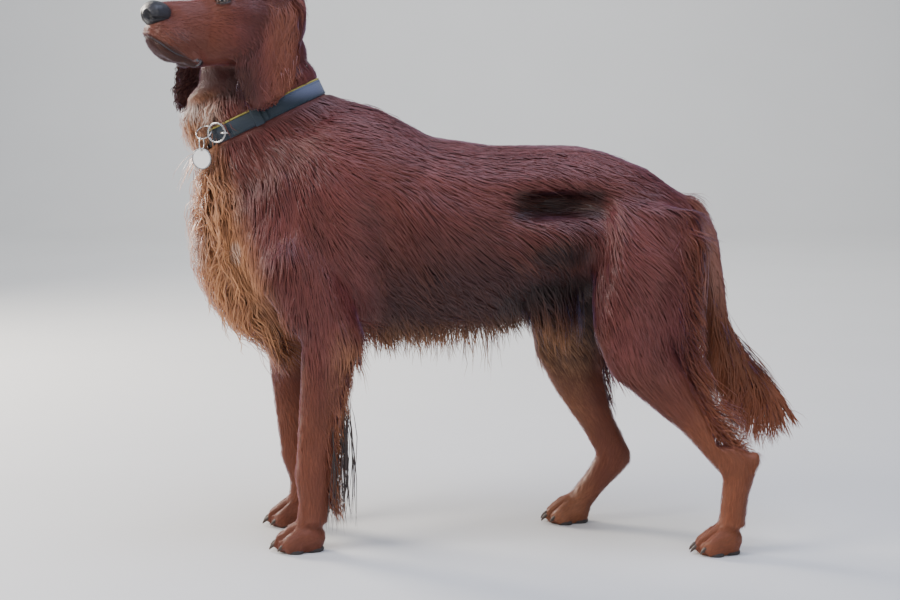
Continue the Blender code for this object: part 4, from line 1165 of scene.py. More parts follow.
# --- the coat's finish ------------------------------------------------------------------------------
@dataclass(frozen=True)
class CoatFinish:
    """The colours of the coat and where on the body they lie."""

    # under is the darkest root colour; the masks below also use it as painted shade
    under: Colour = (0.018, 0.005, 0.004, 1.0)
    deep: Colour = (0.056, 0.011, 0.008, 1.0)
    # chestnut's blue is partly its own tone, partly a painted violet sky reflection
    chestnut: Colour = (0.174, 0.042, 0.037, 1.0)
    copper: Colour = (0.330, 0.105, 0.038, 1.0)
    gold: Colour = (0.760, 0.370, 0.160, 1.0)
    # a duller, lighter brown, used only as painted backlight on the top of the tail's root
    painted_backlight_brown: Colour = (0.262, 0.120, 0.088, 1.0)
    cream: Colour = (0.760, 0.640, 0.560, 1.0)
    bare: Colour = (0.020, 0.014, 0.014, 1.0)

    def colour(self, shader: Shader, tone: Operand, along: Operand, gilt: Operand = 1.0) -> Signal:
        """The markings shared by skin and coat, with painted shade and painted light laid over them.

        Args:
            shader: the material to build in.
            tone: each tuft's own shade, 0 to 1.
            along: 0 at a hair's root, 1 at its tip.
            gilt: how much of the golden and cream colours show.

        Returns:
            The colour.
        """
        place = shader.place()
        x, y, z = shader.axes(place)
        x, y = x - ANATOMY.shift.x, y - ANATOMY.shift.y
        broad = shader.noise(place, 9.0, 3.0)
        fine = shader.noise(place, 60.0, 2.0)
        shade = (tone * 0.50 + broad * 0.75 + fine * 0.25 - 0.32).unit()
        base = self.shaded(shader, (x, y, z), shade)
        base = self.coppered(shader, (x, z), base, tone, 1 - gilt)
        base = self.gilded(shader, (x, z), base, (tone, fine, along), gilt)
        # the chin: partly dark stubble, partly painted shade under the overhanging lip
        base = shader.mix(self.chin(shader, place) * 0.80, base, self.under)
        tips = along * along * along * 0.32 * (0.4 + tone * 0.6)
        return shader.mix(tips, base, self.copper)

    def shaded(self, shader: Shader, axes: Tuple[Signal, ...], shade: Signal) -> Signal:
        """Deep roots and chestnut, with painted shade on the low ribs, the flank and the far leg's inside.

        Args:
            shader: the material to build in.
            axes: the place on the body, x, y and z.
            shade: how light the coat is there, 0 to 1.

        Returns:
            The colour.
        """
        x, y, z = axes
        # painted shade: darker low on the ribs and belly, from behind the elbow to before the thigh
        painted_low_shade = z.step(0.56, 0.38) * z.step(0.24, 0.30) * x.step(-0.14, -0.08) * x.step(0.25, 0.18)
        # painted shade on the inner side of the hind legs
        inner = (y * y).step(0.0081, 0.0042) * x.step(0.05, 0.12) * z.step(0.44, 0.40) * z.step(0.20, 0.27)
        # painted shade in the dip inside the fold before the thigh
        painted_fold_shade = (((x - 0.172) / 0.050) ** 2.0 + ((z - 0.462) / 0.026) ** 2.0).step(1.2, 0.2)
        # painted shadow in the flank's hollow under the loin
        hollow = z.step(0.566, 0.554) * z.step(0.510, 0.524) * x.step(0.085, 0.112) * x.step(0.246, 0.226)
        base = shader.mix((shade * (1 - painted_low_shade * 0.75)).unit(), self.deep, self.chestnut)
        shadow = hollow * 0.88 + painted_low_shade * 0.66 + inner * 0.82 + painted_fold_shade * 0.50
        return shader.mix(shadow.unit(), base, self.under)

    def coppered(
        self, shader: Shader, axes: Tuple[Signal, ...], base: Signal, tone: Operand, ear: Operand
    ) -> Signal:
        """Copper on face, ear's back, lower legs and hindquarters; painted shade under the jaw and light on
        the tail.

        Args:
            shader: the material to build in.
            axes: the place on the body, x and z.
            base: the colour below.
            tone: each tuft's own shade, 0 to 1.
            ear: 1 on the ears.

        Returns:
            The colour.
        """
        x, z = axes
        face = z.step(0.735, 0.765) * x.step(-0.300, -0.350)
        base = shader.mix(face * 0.22, base, self.copper)
        # painted shade under the jaw
        jaw = z.step(0.755, 0.740) * z.step(0.690, 0.705) * x.step(-0.28, -0.31)
        base = shader.mix(jaw * 0.55, base, self.under)
        base = shader.mix(x.step(-0.272, -0.300) * ear * 0.45, base, self.under)
        base = shader.mix(x.step(-0.290, -0.255) * ear * tone * 0.45, base, self.copper)
        low = z.step(0.34, 0.16) * 0.50
        base = shader.mix(low * (0.4 + tone * 0.6), base, self.copper)
        # copper on the hindquarters: partly its own colour, partly painted light where the hind end sits in
        # shade
        rear = x.step(0.34, 0.40) * 0.55
        base = shader.mix(rear * (0.4 + tone * 0.6), base, self.copper)
        # painted backlight: the top of the tail's root made lighter and duller brown
        painted_tail_light = x.step(0.378, 0.396) * z.step(0.33, 0.42)
        return shader.mix(painted_tail_light * (0.4 + tone * 0.5), base, self.painted_backlight_brown)

    def gilded(
        self, shader: Shader, axes: Tuple[Signal, ...], base: Signal, hair: Tuple[Operand, ...], gilt: Operand
    ) -> Signal:
        """Gold on the chest's front, partly painted sunlight, on the throat and belly tips; cream throat and
        edge.

        Args:
            shader: the material to build in.
            axes: the place on the body, x and z.
            base: the colour below.
            hair: the tuft's own shade, a fine unevenness and 0 at a hair's root to 1 at its tip.
            gilt: how much of it shows.

        Returns:
            The colour.
        """
        x, z = axes
        tone, fine, along = hair
        # the chest front's gold is partly the hair's own colour and partly painted sunlight
        front = (x + (z - 0.55) * 0.37).step(-0.305, -0.375) * z.step(0.24, 0.32) * z.step(0.69, 0.62)
        throat = x.step(-0.335, -0.375) * z.step(0.600, 0.640) * z.step(0.720, 0.690)
        belly = z.step(0.375, 0.300) * x.step(-0.20, -0.15) * x.step(0.25, 0.20)
        reach = (0.30 + along * 0.70) * (0.10 + tone * 0.85 + fine * 0.75)
        golden = (front * 0.92 + throat * 0.40 + belly * along * 0.50).unit() * reach
        base = shader.mix((golden * gilt).unit(), base, self.gold)
        pale = throat * z.step(0.645, 0.665) * z.step(0.700, 0.680)
        edge = x.step(-0.362, -0.384) * (z.step(0.430, 0.455) * z.step(0.500, 0.480) + z.step(0.580, 0.600))
        lock = (((x + 0.328) / 0.012) ** 2.0 + ((z - 0.462) / 0.024) ** 2.0).step(1.0, 0.3)
        pale = (pale + edge * z.step(0.66, 0.64) * 0.8 + lock * along * 0.8).unit()
        return shader.mix(pale * gilt * tone.step(0.35, 0.75) * 0.85, base, self.cream)

    @staticmethod
    def chin(shader: Shader, place: Signal) -> Signal:
        """Where the chin shows under the edge of the upper lip: dark stubble and painted shade under the lip.
        """
        turn = ANATOMY.head.inverted()
        back, up = (shader.vector("DOT_PRODUCT", place, turn[k][:3], "Value") + turn[k][3] for k in (0, 2))
        edge = back * -0.575 - 0.1748
        return (edge - up).step(-0.003, 0.003) * back.step(-0.176, -0.186)

    def coat(self, name: str = "coat_hair", gilt: float = 1.0) -> bpy.types.Material:
        """The material of tufts and locks.

        Args:
            name: its name.
            gilt: how much of the golden colours it shows.

        Returns:
            The material.
        """
        shader = Shader(name)
        tone, along = shader.attribute("tone"), shader.attribute("along")
        strand = shader.attribute("strand", "Vector")
        streak = shader.noise(shader.scaled(strand, (3200.0, 30.0, 1.0)), 1.0, 2.0)
        colour = self.colour(shader, tone * 0.70 + streak * 0.35, along, gilt)
        # painted shade: each tuft darkened towards its root, where the coat shades itself
        rooted = along.step(0.30, 0.02) * 0.30
        shader.set(
            Base_Color=shader.mix(rooted, colour, self.under),
            Roughness=0.32 + streak * 0.18,
            Specular_IOR_Level=0.36,
            # the violet sheen tint is a painted reflection of a blue sky
            Sheen_Weight=0.20,
            Sheen_Roughness=0.40,
            Sheen_Tint=(0.50, 0.46, 1.0, 1.0),
            Normal=shader.bump(streak, 0.35, 0.0004),
        )
        return shader.material

    def skin(self) -> bpy.types.Material:
        """The skin's material: the coat's colours and painted shade over short hair, bare and dark on the
        lips.
        """
        shader = Shader("coat_skin")
        lie = shader.attribute("lie", "Vector")
        from_head = shader.vector("SUBTRACT", shader.place(), ANATOMY.in_head(-0.12, 0, 0)[:])
        along = shader.vector("DOT_PRODUCT", from_head, lie, "Value")
        back = shader.node("ShaderNodeVectorMath", {"operation": "SCALE"}, {0: lie, "Scale": along * 0.92})
        across = shader.vector("SUBTRACT", from_head, back)
        hair = shader.noise(across, 1500.0, 2.0)
        lip = shader.attribute("lip")
        colour = self.colour(shader, hair, 0.45, shader.attribute("gilt"))
        colour = shader.mix((hair.step(0.62, 0.32) * 0.6).unit(), colour, self.under)
        shader.set(
            Base_Color=shader.mix(lip, colour, self.bare),
            Roughness=0.50 - lip * 0.22,
            Specular_IOR_Level=0.34,
            Normal=shader.bump(hair, 0.6, 0.0009),
        )
        return shader.material


# --- tufts ------------------------------------------------------------------------------------------
RING_PLACES = {1: (0.0, 0.40, 1.0), 2: (0.0, 0.28, 0.64, 1.0), 3: (0.0, 0.20, 0.46, 0.74, 1.0),
               4: (0.0, 0.16, 0.37, 0.58, 0.80, 1.0)}
RING_WIDTHS = {1: (1.0,), 2: (1.0, 0.78), 3: (0.85, 1.0, 0.68), 4: (0.75, 1.0, 0.86, 0.55)}
RING_HEIGHTS = {1: (-0.2, 0.85, 0.45), 2: (-0.2, 0.78, 0.92, 0.45), 3: (-0.2, 0.62, 0.92, 0.95, 0.5),
                4: (-0.2, 0.50, 0.84, 0.98, 0.92, 0.6)}
PATCH = 0.003  # width of a tuft's patch on the bake map
HARDWARE_REACH = {"tag": 0.019, "collar_ring": 0.016, "tag_ring": 0.013, "tag_link": 0.009}


@dataclass
class Tufts:
    """Many tufts: their middle lines, their outer sides, and what each one carries."""

    paths: np.ndarray
    ups: np.ndarray
    widths: np.ndarray
    tones: np.ndarray
    spots: np.ndarray
    flat: float = 0.26
    lean: float = 0.35  # how far the shading turns to each side of a blade

    def joined(self, name: str) -> bpy.types.Object:
        """Builds all the tufts as one mesh of closed, pointed, three-sided blades.

        Args:
            name: the object's name.

        Returns:
            The mesh object.
        """
        count, steps = self.paths.shape[:2]
        rings = steps - 2
        way = np.empty_like(self.paths)
        way[:, 1:-1] = self.paths[:, 2:] - self.paths[:, :-2]
        across = unit(np.cross(unit(way[:, 1:-1]), self.ups[:, 1:-1]))
        over = np.cross(across, unit(way[:, 1:-1]))
        shape = np.array(RING_WIDTHS[rings])
        half = self.widths[:, None] * shape * 0.5
        middle = self.paths[:, 1:-1]
        sides = across * half[..., None]
        lift = over * (half * self.flat)[..., None]
        corners = np.stack([middle - sides - lift, middle + sides - lift, middle + lift * 1.6], axis=2)
        corners = corners.reshape(count, rings * 3, 3)
        points = np.concatenate([self.paths[:, :1], corners, self.paths[:, -1:]], axis=1)
        size = rings * 3 + 2
        faces = self.pattern(rings)
        corners_of = (faces[None] + (np.arange(count) * size)[:, None, None]).reshape(-1)
        mesh = bpy.data.meshes.new(name)
        mesh.vertices.add(count * size)
        mesh.vertices.foreach_set("co", points.ravel())
        mesh.loops.add(len(corners_of))
        mesh.loops.foreach_set("vertex_index", corners_of.astype(np.int32))
        mesh.polygons.add(len(corners_of) // 3)
        mesh.polygons.foreach_set("loop_start", np.arange(0, len(corners_of), 3, dtype=np.int32))
        mesh.update(calc_edges=True)
        mesh.shade_smooth()
        self.carry(mesh, rings, size, corners_of)
        mesh.normals_split_custom_set(self.shading(over, across))
        return new_object(name, mesh)

    def shading(self, over: np.ndarray, across: np.ndarray) -> np.ndarray:
        """Corner normals that lean little to the sides, so that the coat reads as sleek.

        Args:
            over: the outer side of each ring.
            across: each ring's sideways direction.

        Returns:
            One normal for each face corner.
        """
        rings = over.shape[1]
        faces = self.pattern(rings)
        sides = np.array([0, 1, 2] + [0, 0, 1, 1, 2, 2] * (rings - 1) + [0, 1, 2])
        ring = np.clip((faces - 1) // 3, 0, rings - 1)
        kind = np.where((faces == 0) | (faces > rings * 3), 2, (faces - 1) % 3)
        lean = np.array((-self.lean, self.lean, 0.0))[kind]
        facing = np.where(sides == 0, -1.0, 1.0)[:, None, None]
        return unit(over[:, ring] * facing + across[:, ring] * lean[..., None]).reshape(-1, 3)

    def clear(self) -> "Tufts":
        """Leaves out the tufts that would run through the tag and its rings."""
        blocked = np.zeros(len(self.paths), bool)
        for node, reach in HARDWARE_REACH.items():
            far = np.linalg.norm(self.paths - np.array(node_middle(node)), axis=2)
            blocked |= (far < reach).any(axis=1)
        kept = ~blocked
        lists = (values[kept] for values in (self.paths, self.ups, self.widths, self.tones, self.spots))
        return Tufts(*lists, self.flat, self.lean)

    @staticmethod
    def pattern(rings: int) -> np.ndarray:
        """The triangles of one tuft, facing out."""
        faces = [(0, 1 + k, 1 + (k + 1) % 3) for k in range(3)]
        for ring in range(rings - 1):
            low, high = 1 + ring * 3, 4 + ring * 3
            for k in range(3):
                n = (k + 1) % 3
                faces += [(low + k, high + n, low + n), (low + k, high + k, high + n)]
        last, tip = 1 + (rings - 1) * 3, 1 + rings * 3
        faces += [(last + k, tip, last + (k + 1) % 3) for k in range(3)]
        return np.array(faces, np.int32)

    def carry(self, mesh: bpy.types.Mesh, rings: int, size: int, corners_of: np.ndarray) -> None:
        """Stores tone, place along the hair, streak coordinates and the bake map.

        Args:
            mesh: the tufts' mesh.
            rings: rings in each tuft.
            size: points in each tuft.
            corners_of: the point of each face corner.
        """
        count = len(self.paths)
        ring_places = np.array(RING_PLACES[rings])
        along = np.concatenate([[0.0], np.repeat(ring_places[1:-1], 3), [1.0]])
        sideways = np.concatenate([[0.0], np.tile([-0.5, 0.5, 0.0], rings), [0.0]])
        lengths = np.linalg.norm(np.diff(self.paths, axis=1), axis=2).sum(axis=1)
        strand = np.zeros((count, size, 3))
        strand[:, :, 0] = sideways * self.widths[:, None] + self.tones[:, None] * 7
        strand[:, :, 1] = along * lengths[:, None]
        strand[:, :, 2] = self.tones[:, None] * 13
        for name, values in (("tone", np.repeat(self.tones, size)), ("along", np.tile(along, count))):
            mesh.attributes.new(name, "FLOAT", "POINT").data.foreach_set("value", values)
        mesh.attributes.new("strand", "FLOAT_VECTOR", "POINT").data.foreach_set("vector", strand.ravel())
        patch = np.stack([sideways * PATCH, (along - 0.5) * PATCH], axis=1)
        spread = self.spots[:, None, :] * (1 - 2 * PATCH) + PATCH + patch[None]
        layer = mesh.uv_layers.new(name="OFBake")
        layer.data.foreach_set("uv", spread.reshape(-1, 2)[corners_of].ravel())
        layer.active = layer.active_render = True


def unwrapped(ground: Ground, chosen: np.ndarray) -> np.ndarray:
    """Unwraps a region of the skin on to the unit square.

    Args:
        ground: the skin.
        chosen: the region's triangles.

    Returns:
        A place on the square for each corner of each chosen triangle.
    """
    corners = ground.triangles[chosen]
    used, renamed = np.unique(corners, return_inverse=True)
    mesh = bpy.data.meshes.new("region")
    mesh.from_pydata(ground.points[used].tolist(), [], renamed.reshape(-1, 3).tolist())
    region = new_object("region", mesh)
    bpy.context.view_layer.objects.active = region
    region.select_set(True)
    mesh.uv_layers.new(name="map")
    bpy.ops.object.mode_set(mode="EDIT")
    bpy.ops.mesh.select_all(action="SELECT")
    bpy.ops.uv.smart_project(angle_limit=math.radians(66), island_margin=0.004)
    bpy.ops.object.mode_set(mode="OBJECT")
    uv = np.zeros(len(mesh.loops) * 2)
    mesh.uv_layers[0].data.foreach_get("uv", uv)
    uv = uv.reshape(-1, 3, 2)
    remove(region)
    low, high = uv.min(axis=(0, 1)), uv.max(axis=(0, 1))
    return np.clip((uv - low) / np.maximum(high - low, 1e-6), 0, 1)


@dataclass(frozen=True)
class Growth:
    """How one kind of hair grows."""

    count: int
    length: float
    width: float
    rings: int
    wave: float = 0.0
    wave_length: float = 0.03
    clump: float = 0.0
    clump_size: float = 0.014
    scatter: float = 0.12
    fill: Tuple[float, float] = (0.35, 1.0)  # share of the coat's depth that a tuft reaches
    free: float = 0.004  # how far off the skin a tuft may go before it hangs free
    stray: float = 0.03  # share of tufts that stand out
    stand: float = 1.5  # how far those reach, in depths of the coat
    held: bool = True  # whether the strap cuts it short


class Region:
    """A part of the skin with one kind of hair on it."""

    def __init__(self, hide: Hide, chosen: np.ndarray, seed: int) -> None:
        """Selects the region.

        Args:
            hide: the skin.
            chosen: whether each of its triangles is in the region.
            seed: the region's random seed.
        """
        self.ground = hide.ground
        self.chosen = np.nonzero(chosen)[0]
        self.rng = np.random.default_rng(seed)
        self.map = unwrapped(self.ground, self.chosen)

    def roots(self, count: int, weight: Optional[np.ndarray] = None) -> Tuple[np.ndarray, ...]:
        """Picks places on the region by area.

        Args:
            count: how many.
            weight: how dense the hair is on each triangle of the region.

        Returns:
            Places, their triangles and their spots on the bake map.
        """
        areas = self.ground.areas[self.chosen] * (1.0 if weight is None else weight)
        even = (np.arange(count) + self.rng.uniform(size=count)) / count
        order = np.argsort(self.ground.middles()[self.chosen][:, 2], kind="stable")
        total = np.cumsum(areas[order])
        pick = order[np.minimum(np.searchsorted(total, even * total[-1]), len(order) - 1)]
        a, b = self.rng.uniform(size=(2, count))
        over = a + b > 1
        a[over], b[over] = 1 - a[over], 1 - b[over]
        shares = np.stack([1 - a - b, a, b], axis=1)
        triangle = self.chosen[pick]
        corners = self.ground.points[self.ground.triangles[triangle]]
        places = np.einsum("nk,nkc->nc", shares, corners)
        spots = np.einsum("nk,nkc->nc", shares, self.map[pick])
        return places, triangle, spots

    def grown(
        self,
        growth: Growth,
        length_of: Optional[Callable[[np.ndarray], np.ndarray]] = None,
        weight: Optional[np.ndarray] = None,
        keep: Optional[Callable[[np.ndarray], np.ndarray]] = None,
    ) -> Tufts:
        """Grows hair that follows the lie of the coat over the skin.

        Args:
            growth: the kind of hair.
            length_of: multiplies the length by place.
            weight: density by triangle.
            keep: tells which roots carry hair.

        Returns:
            The tufts.
        """
        places, triangle, spots = self.roots(growth.count, weight)
        if keep is not None:
            kept = keep(places)
            places, triangle, spots = places[kept], triangle[kept], spots[kept]
        count, steps = len(places), RING_PLACES[growth.rings]
        length = growth.length * self.rng.uniform(0.72, 1.25, count)
        if length_of is not None:
            length = length * length_of(places)
        if growth.held:
            length = self.spared(places, self.ground.lie[triangle], length)
        paths, ups = self.laid(growth, places, triangle, length)
        self.waved(paths, ups, steps, growth, length)
        self.clumped(paths, places, steps, growth)
        paths[..., 2] = np.maximum(paths[..., 2], 0.0012)
        width = growth.width * self.rng.uniform(0.7, 1.3, count)
        shade = 0.20 * swell(places, 0.040, 9) + 0.10 * swell(places, 0.013, 10)
        tone = np.clip(self.rng.normal(0.5, 0.11, count) + shade, 0, 1)
        return Tufts(paths, ups, width, tone, spots).clear()

    def laid(
        self, growth: Growth, places: np.ndarray, triangle: np.ndarray, length: np.ndarray
    ) -> Tuple[np.ndarray, np.ndarray]:
        """Leads strands over the skin, each at its own height in the coat, until they hang free of it.

        Args:
            growth: the kind of hair.
            places: the strands' roots.
            triangle: the skin's triangle at each root.
            length: the strands' lengths.

        Returns:
            The strands' points and the outward direction at each.
        """
        ground, rng, count = self.ground, self.rng, len(places)
        normal, lie = ground.soft[triangle], ground.lie[triangle]
        turned = rng.normal(0, growth.scatter, count)[:, None]
        heading = unit(lie + np.cross(normal, lie) * turned)
        layer = rng.uniform(*growth.fill, count)
        stray = rng.uniform(size=count) < growth.stray
        layer = np.where(stray, rng.uniform(1.0, growth.stand, count), layer)
        depth = np.maximum(ground.depth[triangle], 0.0008)
        steps, heights = RING_PLACES[growth.rings], RING_HEIGHTS[growth.rings]
        paths = np.zeros((count, len(steps), 3))
        ups = np.zeros_like(paths)
        paths[:, 0] = places - normal * np.minimum(0.0012, depth * 0.3)[:, None]
        ups[:, 0] = normal
        at = places.copy()
        loose = np.zeros(count, bool)
        for k in range(1, len(steps)):
            at = at + heading * (length * (steps[k] - steps[k - 1]))[:, None]
            near, triangle, far = ground.nearest(at)
            loose |= far > growth.free
            settled = ~loose
            at[settled] = near[settled]
            normal = np.where(settled[:, None], ground.soft[triangle], normal)
            depth = np.where(settled, 0.5 * depth + 0.5 * ground.depth[triangle], depth)
            flow = flattened(ground.lie[triangle], normal)
            flow = flow + np.cross(normal, flow) * turned
            falling = unit(heading + np.array((0.0, 0.0, -0.25)))
            heading = np.where(settled[:, None], unit(heading * 0.5 + flow * 0.5), falling)
            high = depth * layer * heights[k]
            paths[:, k] = at + normal * high[:, None]
            ups[:, k] = normal
        return paths, ups

    @staticmethod
    def spared(places: np.ndarray, lie: np.ndarray, length: np.ndarray) -> np.ndarray:
        """Shortens hair above the collar so that it ends on the strap's edge."""
        high = COLLAR_PATH.heights(places)
        fall = -(lie @ np.array(COLLAR_PATH.up))
        room = (high - COLLAR_PATH.deep / 2 - 0.001) / np.maximum(fall, 0.15)
        held = COLLAR_PATH.near(places) & (high > 0)
        return np.where(held, np.minimum(length, np.maximum(room, 0.004)), length)

    def waved(
        self, paths: np.ndarray, ups: np.ndarray, steps: Sequence[float], growth: Growth, length: np.ndarray
    ) -> None:
        """Swings the hair from side to side along its length, neighbours together."""
        if growth.wave <= 0:
            return
        root = paths[:, 0]
        phase = 2.6 * swell(root, 0.05, 21) + self.rng.normal(0, 0.5, len(root))
        size = growth.wave * self.rng.uniform(0.5, 1.3, len(root))
        way = unit(paths[:, -1] - paths[:, 0])
        for k in range(1, len(steps)):
            across = unit(np.cross(way, ups[:, k]))
            swing = np.sin(phase + 2 * math.pi * steps[k] * length / growth.wave_length) - np.sin(phase)
            paths[:, k] += across * (size * swing * min(1.0, steps[k] * 2))[:, None]

    def clumped(self, paths: np.ndarray, places: np.ndarray, steps: Sequence[float], growth: Growth) -> None:
        """Draws neighbouring tips together into locks."""
        if growth.clump <= 0:
            return
        jitter = np.stack([swell(places, 0.02, 31 + k) for k in range(3)], axis=1) * growth.clump_size * 0.35
        cell = np.floor((places + jitter) / growth.clump_size).astype(np.int64)
        key = cell[:, 0] * 7919 + cell[:, 1] * 104729 + cell[:, 2] * 1299709
        _, member = np.unique(key, return_inverse=True)
        number = np.bincount(member)
        share = growth.clump * self.rng.uniform(0.4, 1.0, len(places))
        for k in range(1, len(steps)):
            mean = np.stack([np.bincount(member, paths[:, k, c]) / number for c in range(3)], axis=1)
            paths[:, k] += (mean[member] - paths[:, k]) * (share * steps[k] ** 1.4)[:, None]


@dataclass(frozen=True)
class Fringe:
    """Long hair that hangs off the body and fills one or two fringe nodes."""

    name: str
    nodes: Tuple[str, ...]
    roots: Tuple[str, ...]
    flow: Callable[[np.ndarray], np.ndarray]
    growth: Growth
    reach: Tuple[float, float]
    seed: int
    beyond: float = 0.006  # how far the longest tips pass the fringe's solid
    spots: Tuple[Tuple[Triple, Triple, float], ...] = ()  # more tips: place in the body's frame, reach, share

    def build(self, hide: Hide) -> Tufts:
        """Grows locks from the skin to places all through the fringe.

        Args:
            hide: the skin.

        Returns:
            The tufts.
        """
        rng = np.random.default_rng(self.seed)
        chosen = hide.parts.among(hide.ground.part, *self.roots)
        region = Region(hide, chosen, self.seed)
        tips, outward = self.tips(rng)
        flow = self.flow(ANATOMY.body_points(tips))
        far = rng.uniform(*self.reach, len(tips))
        start, triangle, spots = self.rooted(region, tips - flow * far[:, None])
        normal, lie = hide.ground.soft[triangle], hide.ground.lie[triangle]
        span = np.linalg.norm(tips - start, axis=1)
        steps = RING_PLACES[self.growth.rings]
        scatter = rng.normal(0, 0.07, tips.shape)
        leave = (lie * 0.75 + normal * 0.18) * span[:, None]
        arrive = unit(flow + scatter) * span[:, None] * 0.9
        tips = tips + flow * (rng.uniform(0, 1, len(tips)) ** 2 * (self.beyond + 0.004) - 0.004)[:, None]
        paths, ups = [], []
        for t in steps:
            a, b = 2 * t**3 - 3 * t**2 + 1, t**3 - 2 * t**2 + t
            c, d = -2 * t**3 + 3 * t**2, t**3 - t**2
            paths.append(a * start + b * leave + c * tips + d * arrive)
            ups.append(unit(normal * (1 - t) + outward * t + 1e-6))
        paths, ups = np.stack(paths, axis=1), np.stack(ups, axis=1)
        paths[:, 0] -= normal * 0.0015
        region.rng = rng
        region.waved(paths, ups, steps, self.growth, span)
        region.clumped(paths, tips, steps, self.growth)
        width = self.growth.width * rng.uniform(0.6, 1.3, len(tips))
        tone = np.clip(rng.normal(0.5, 0.18, len(tips)) + 0.18 * swell(tips, 0.03, 9), 0, 1)
        return Tufts(paths, ups, width, tone, spots)

    def tips(self, rng: np.random.Generator) -> Tuple[np.ndarray, np.ndarray]:
        """Places on and just inside the fringe solids, with the way out of them."""
        points, corners, base = [], [], 0
        for node in self.nodes:
            co, tri = mesh_arrays(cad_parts[node].data)
            points.append(co)
            corners.append(tri + base)
            base += len(co)
        points, corners = np.concatenate(points), np.concatenate(corners)
        a, b, c = (points[corners[:, k]] for k in range(3))
        cross = np.cross(b - a, c - a)
        total = np.cumsum(np.linalg.norm(cross, axis=1))
        pick = np.searchsorted(total, rng.uniform(size=self.growth.count) * total[-1])
        u, v = rng.uniform(size=(2, self.growth.count, 1))
        over = (u + v > 1)[:, 0]
        u[over], v[over] = 1 - u[over], 1 - v[over]
        outward = unit(cross[pick])
        inward = rng.uniform(0.0, 1.0, (self.growth.count, 1)) ** 2 * 0.010
        places = a[pick] + (b[pick] - a[pick]) * u + (c[pick] - a[pick]) * v - outward * inward
        for middle, size, share in self.spots:
            chosen = rng.uniform(size=len(places)) < share
            ball = unit(rng.normal(size=places.shape)) * rng.uniform(size=(len(places), 1)) ** (1 / 3)
            places[chosen] = (np.array(ANATOMY.in_body(*middle)) + ball * size)[chosen]
            outward[chosen] = ball[chosen]
        return places, outward

    @staticmethod
    def rooted(region: Region, starts: np.ndarray) -> Tuple[np.ndarray, np.ndarray, np.ndarray]:
        """The nearest places of the region's skin to the wished starts."""
        ground = region.ground
        corners = ground.triangles[region.chosen]
        tree = BVHTree.FromPolygons(ground.points.tolist(), corners.tolist(), all_triangles=True)
        found = [tree.find_nearest(p) for p in starts.tolist()]
        near = np.array([f[0][:] for f in found])
        local = np.array([f[2] for f in found], np.int32)
        spots = region.map[local].mean(axis=1)
        return near, region.chosen[local], spots


# Values are in Growth's order: count, length, width, rings, wave, clump, scatter, fill and standing off.
FACE_HAIR = Growth(19500, 0.0110, 0.00075, 1, 0.0, 0.0, 0.15, 0.006, 0.10, (0.25, 1.0), 0.003, 0.015)
EAR_HAIR = Growth(5300, 0.048, 0.0014, 3, 0.0046, 0.036, 0.45, 0.012, 0.10, (0.3, 1.0), 0.003)
NECK_HAIR = Growth(5600, 0.052, 0.0015, 3, 0.0018, 0.06, 0.35, 0.014, 0.08)
CHEST_HAIR = Growth(4700, 0.078, 0.0018, 4, 0.0068, 0.052, 0.50, 0.018, 0.20, (0.3, 1.05), 0.004, 0.22, 2.0)
SHOULDER_HAIR = Growth(4700, 0.058, 0.0015, 3, 0.0018, 0.06, 0.35, 0.014, 0.06, (0.45, 1.0), 0.004, 0.015)
TRUNK_HAIR = Growth(9800, 0.052, 0.0014, 2, 0.0008, 0.06, 0.25, 0.012, 0.045, (0.5, 1.0), 0.004, 0.01)
THIGH_HAIR = Growth(5600, 0.048, 0.0014, 2, 0.0008, 0.06, 0.25, 0.012, 0.06, (0.45, 1.0), 0.004, 0.015)
LEG_HAIR = Growth(12200, 0.018, 0.0009, 1, 0.0, 0.0, 0.25, 0.008, 0.10)
PAW_HAIR = Growth(7500, 0.0075, 0.0008, 1, 0.0, 0.0, 0.2, 0.005, 0.10)
TAIL_HAIR = Growth(3000, 0.036, 0.0015, 2, 0.0010, 0.04, 0.3, 0.012, 0.10)
THROAT_HAIR = Growth(
    2300, 0.052, 0.0015, 3, 0.0050, 0.036, 0.5, 0.014, 0.22, (0.6, 1.4), 0.004, 0.35, 2.6, held=False
)
FLANK_HAIR = Growth(3400, 0.074, 0.0015, 3, 0.0050, 0.060, 0.5, 0.018, 0.16, (0.5, 1.3), 0.005, 0.12, 1.8)
BELLY_LOCKS = Growth(3300, 0.0, 0.0014, 4, 0.0052, 0.055, 0.5, 0.016)
FORELEG_LOCKS = Growth(2500, 0.0, 0.0013, 4, 0.0042, 0.045, 0.45, 0.012)
THIGH_LOCKS = Growth(4200, 0.0, 0.0014, 4, 0.0044, 0.055, 0.5, 0.014)
TAIL_LOCKS = Growth(3700, 0.0, 0.0015, 4, 0.0036, 0.07, 0.45, 0.014)


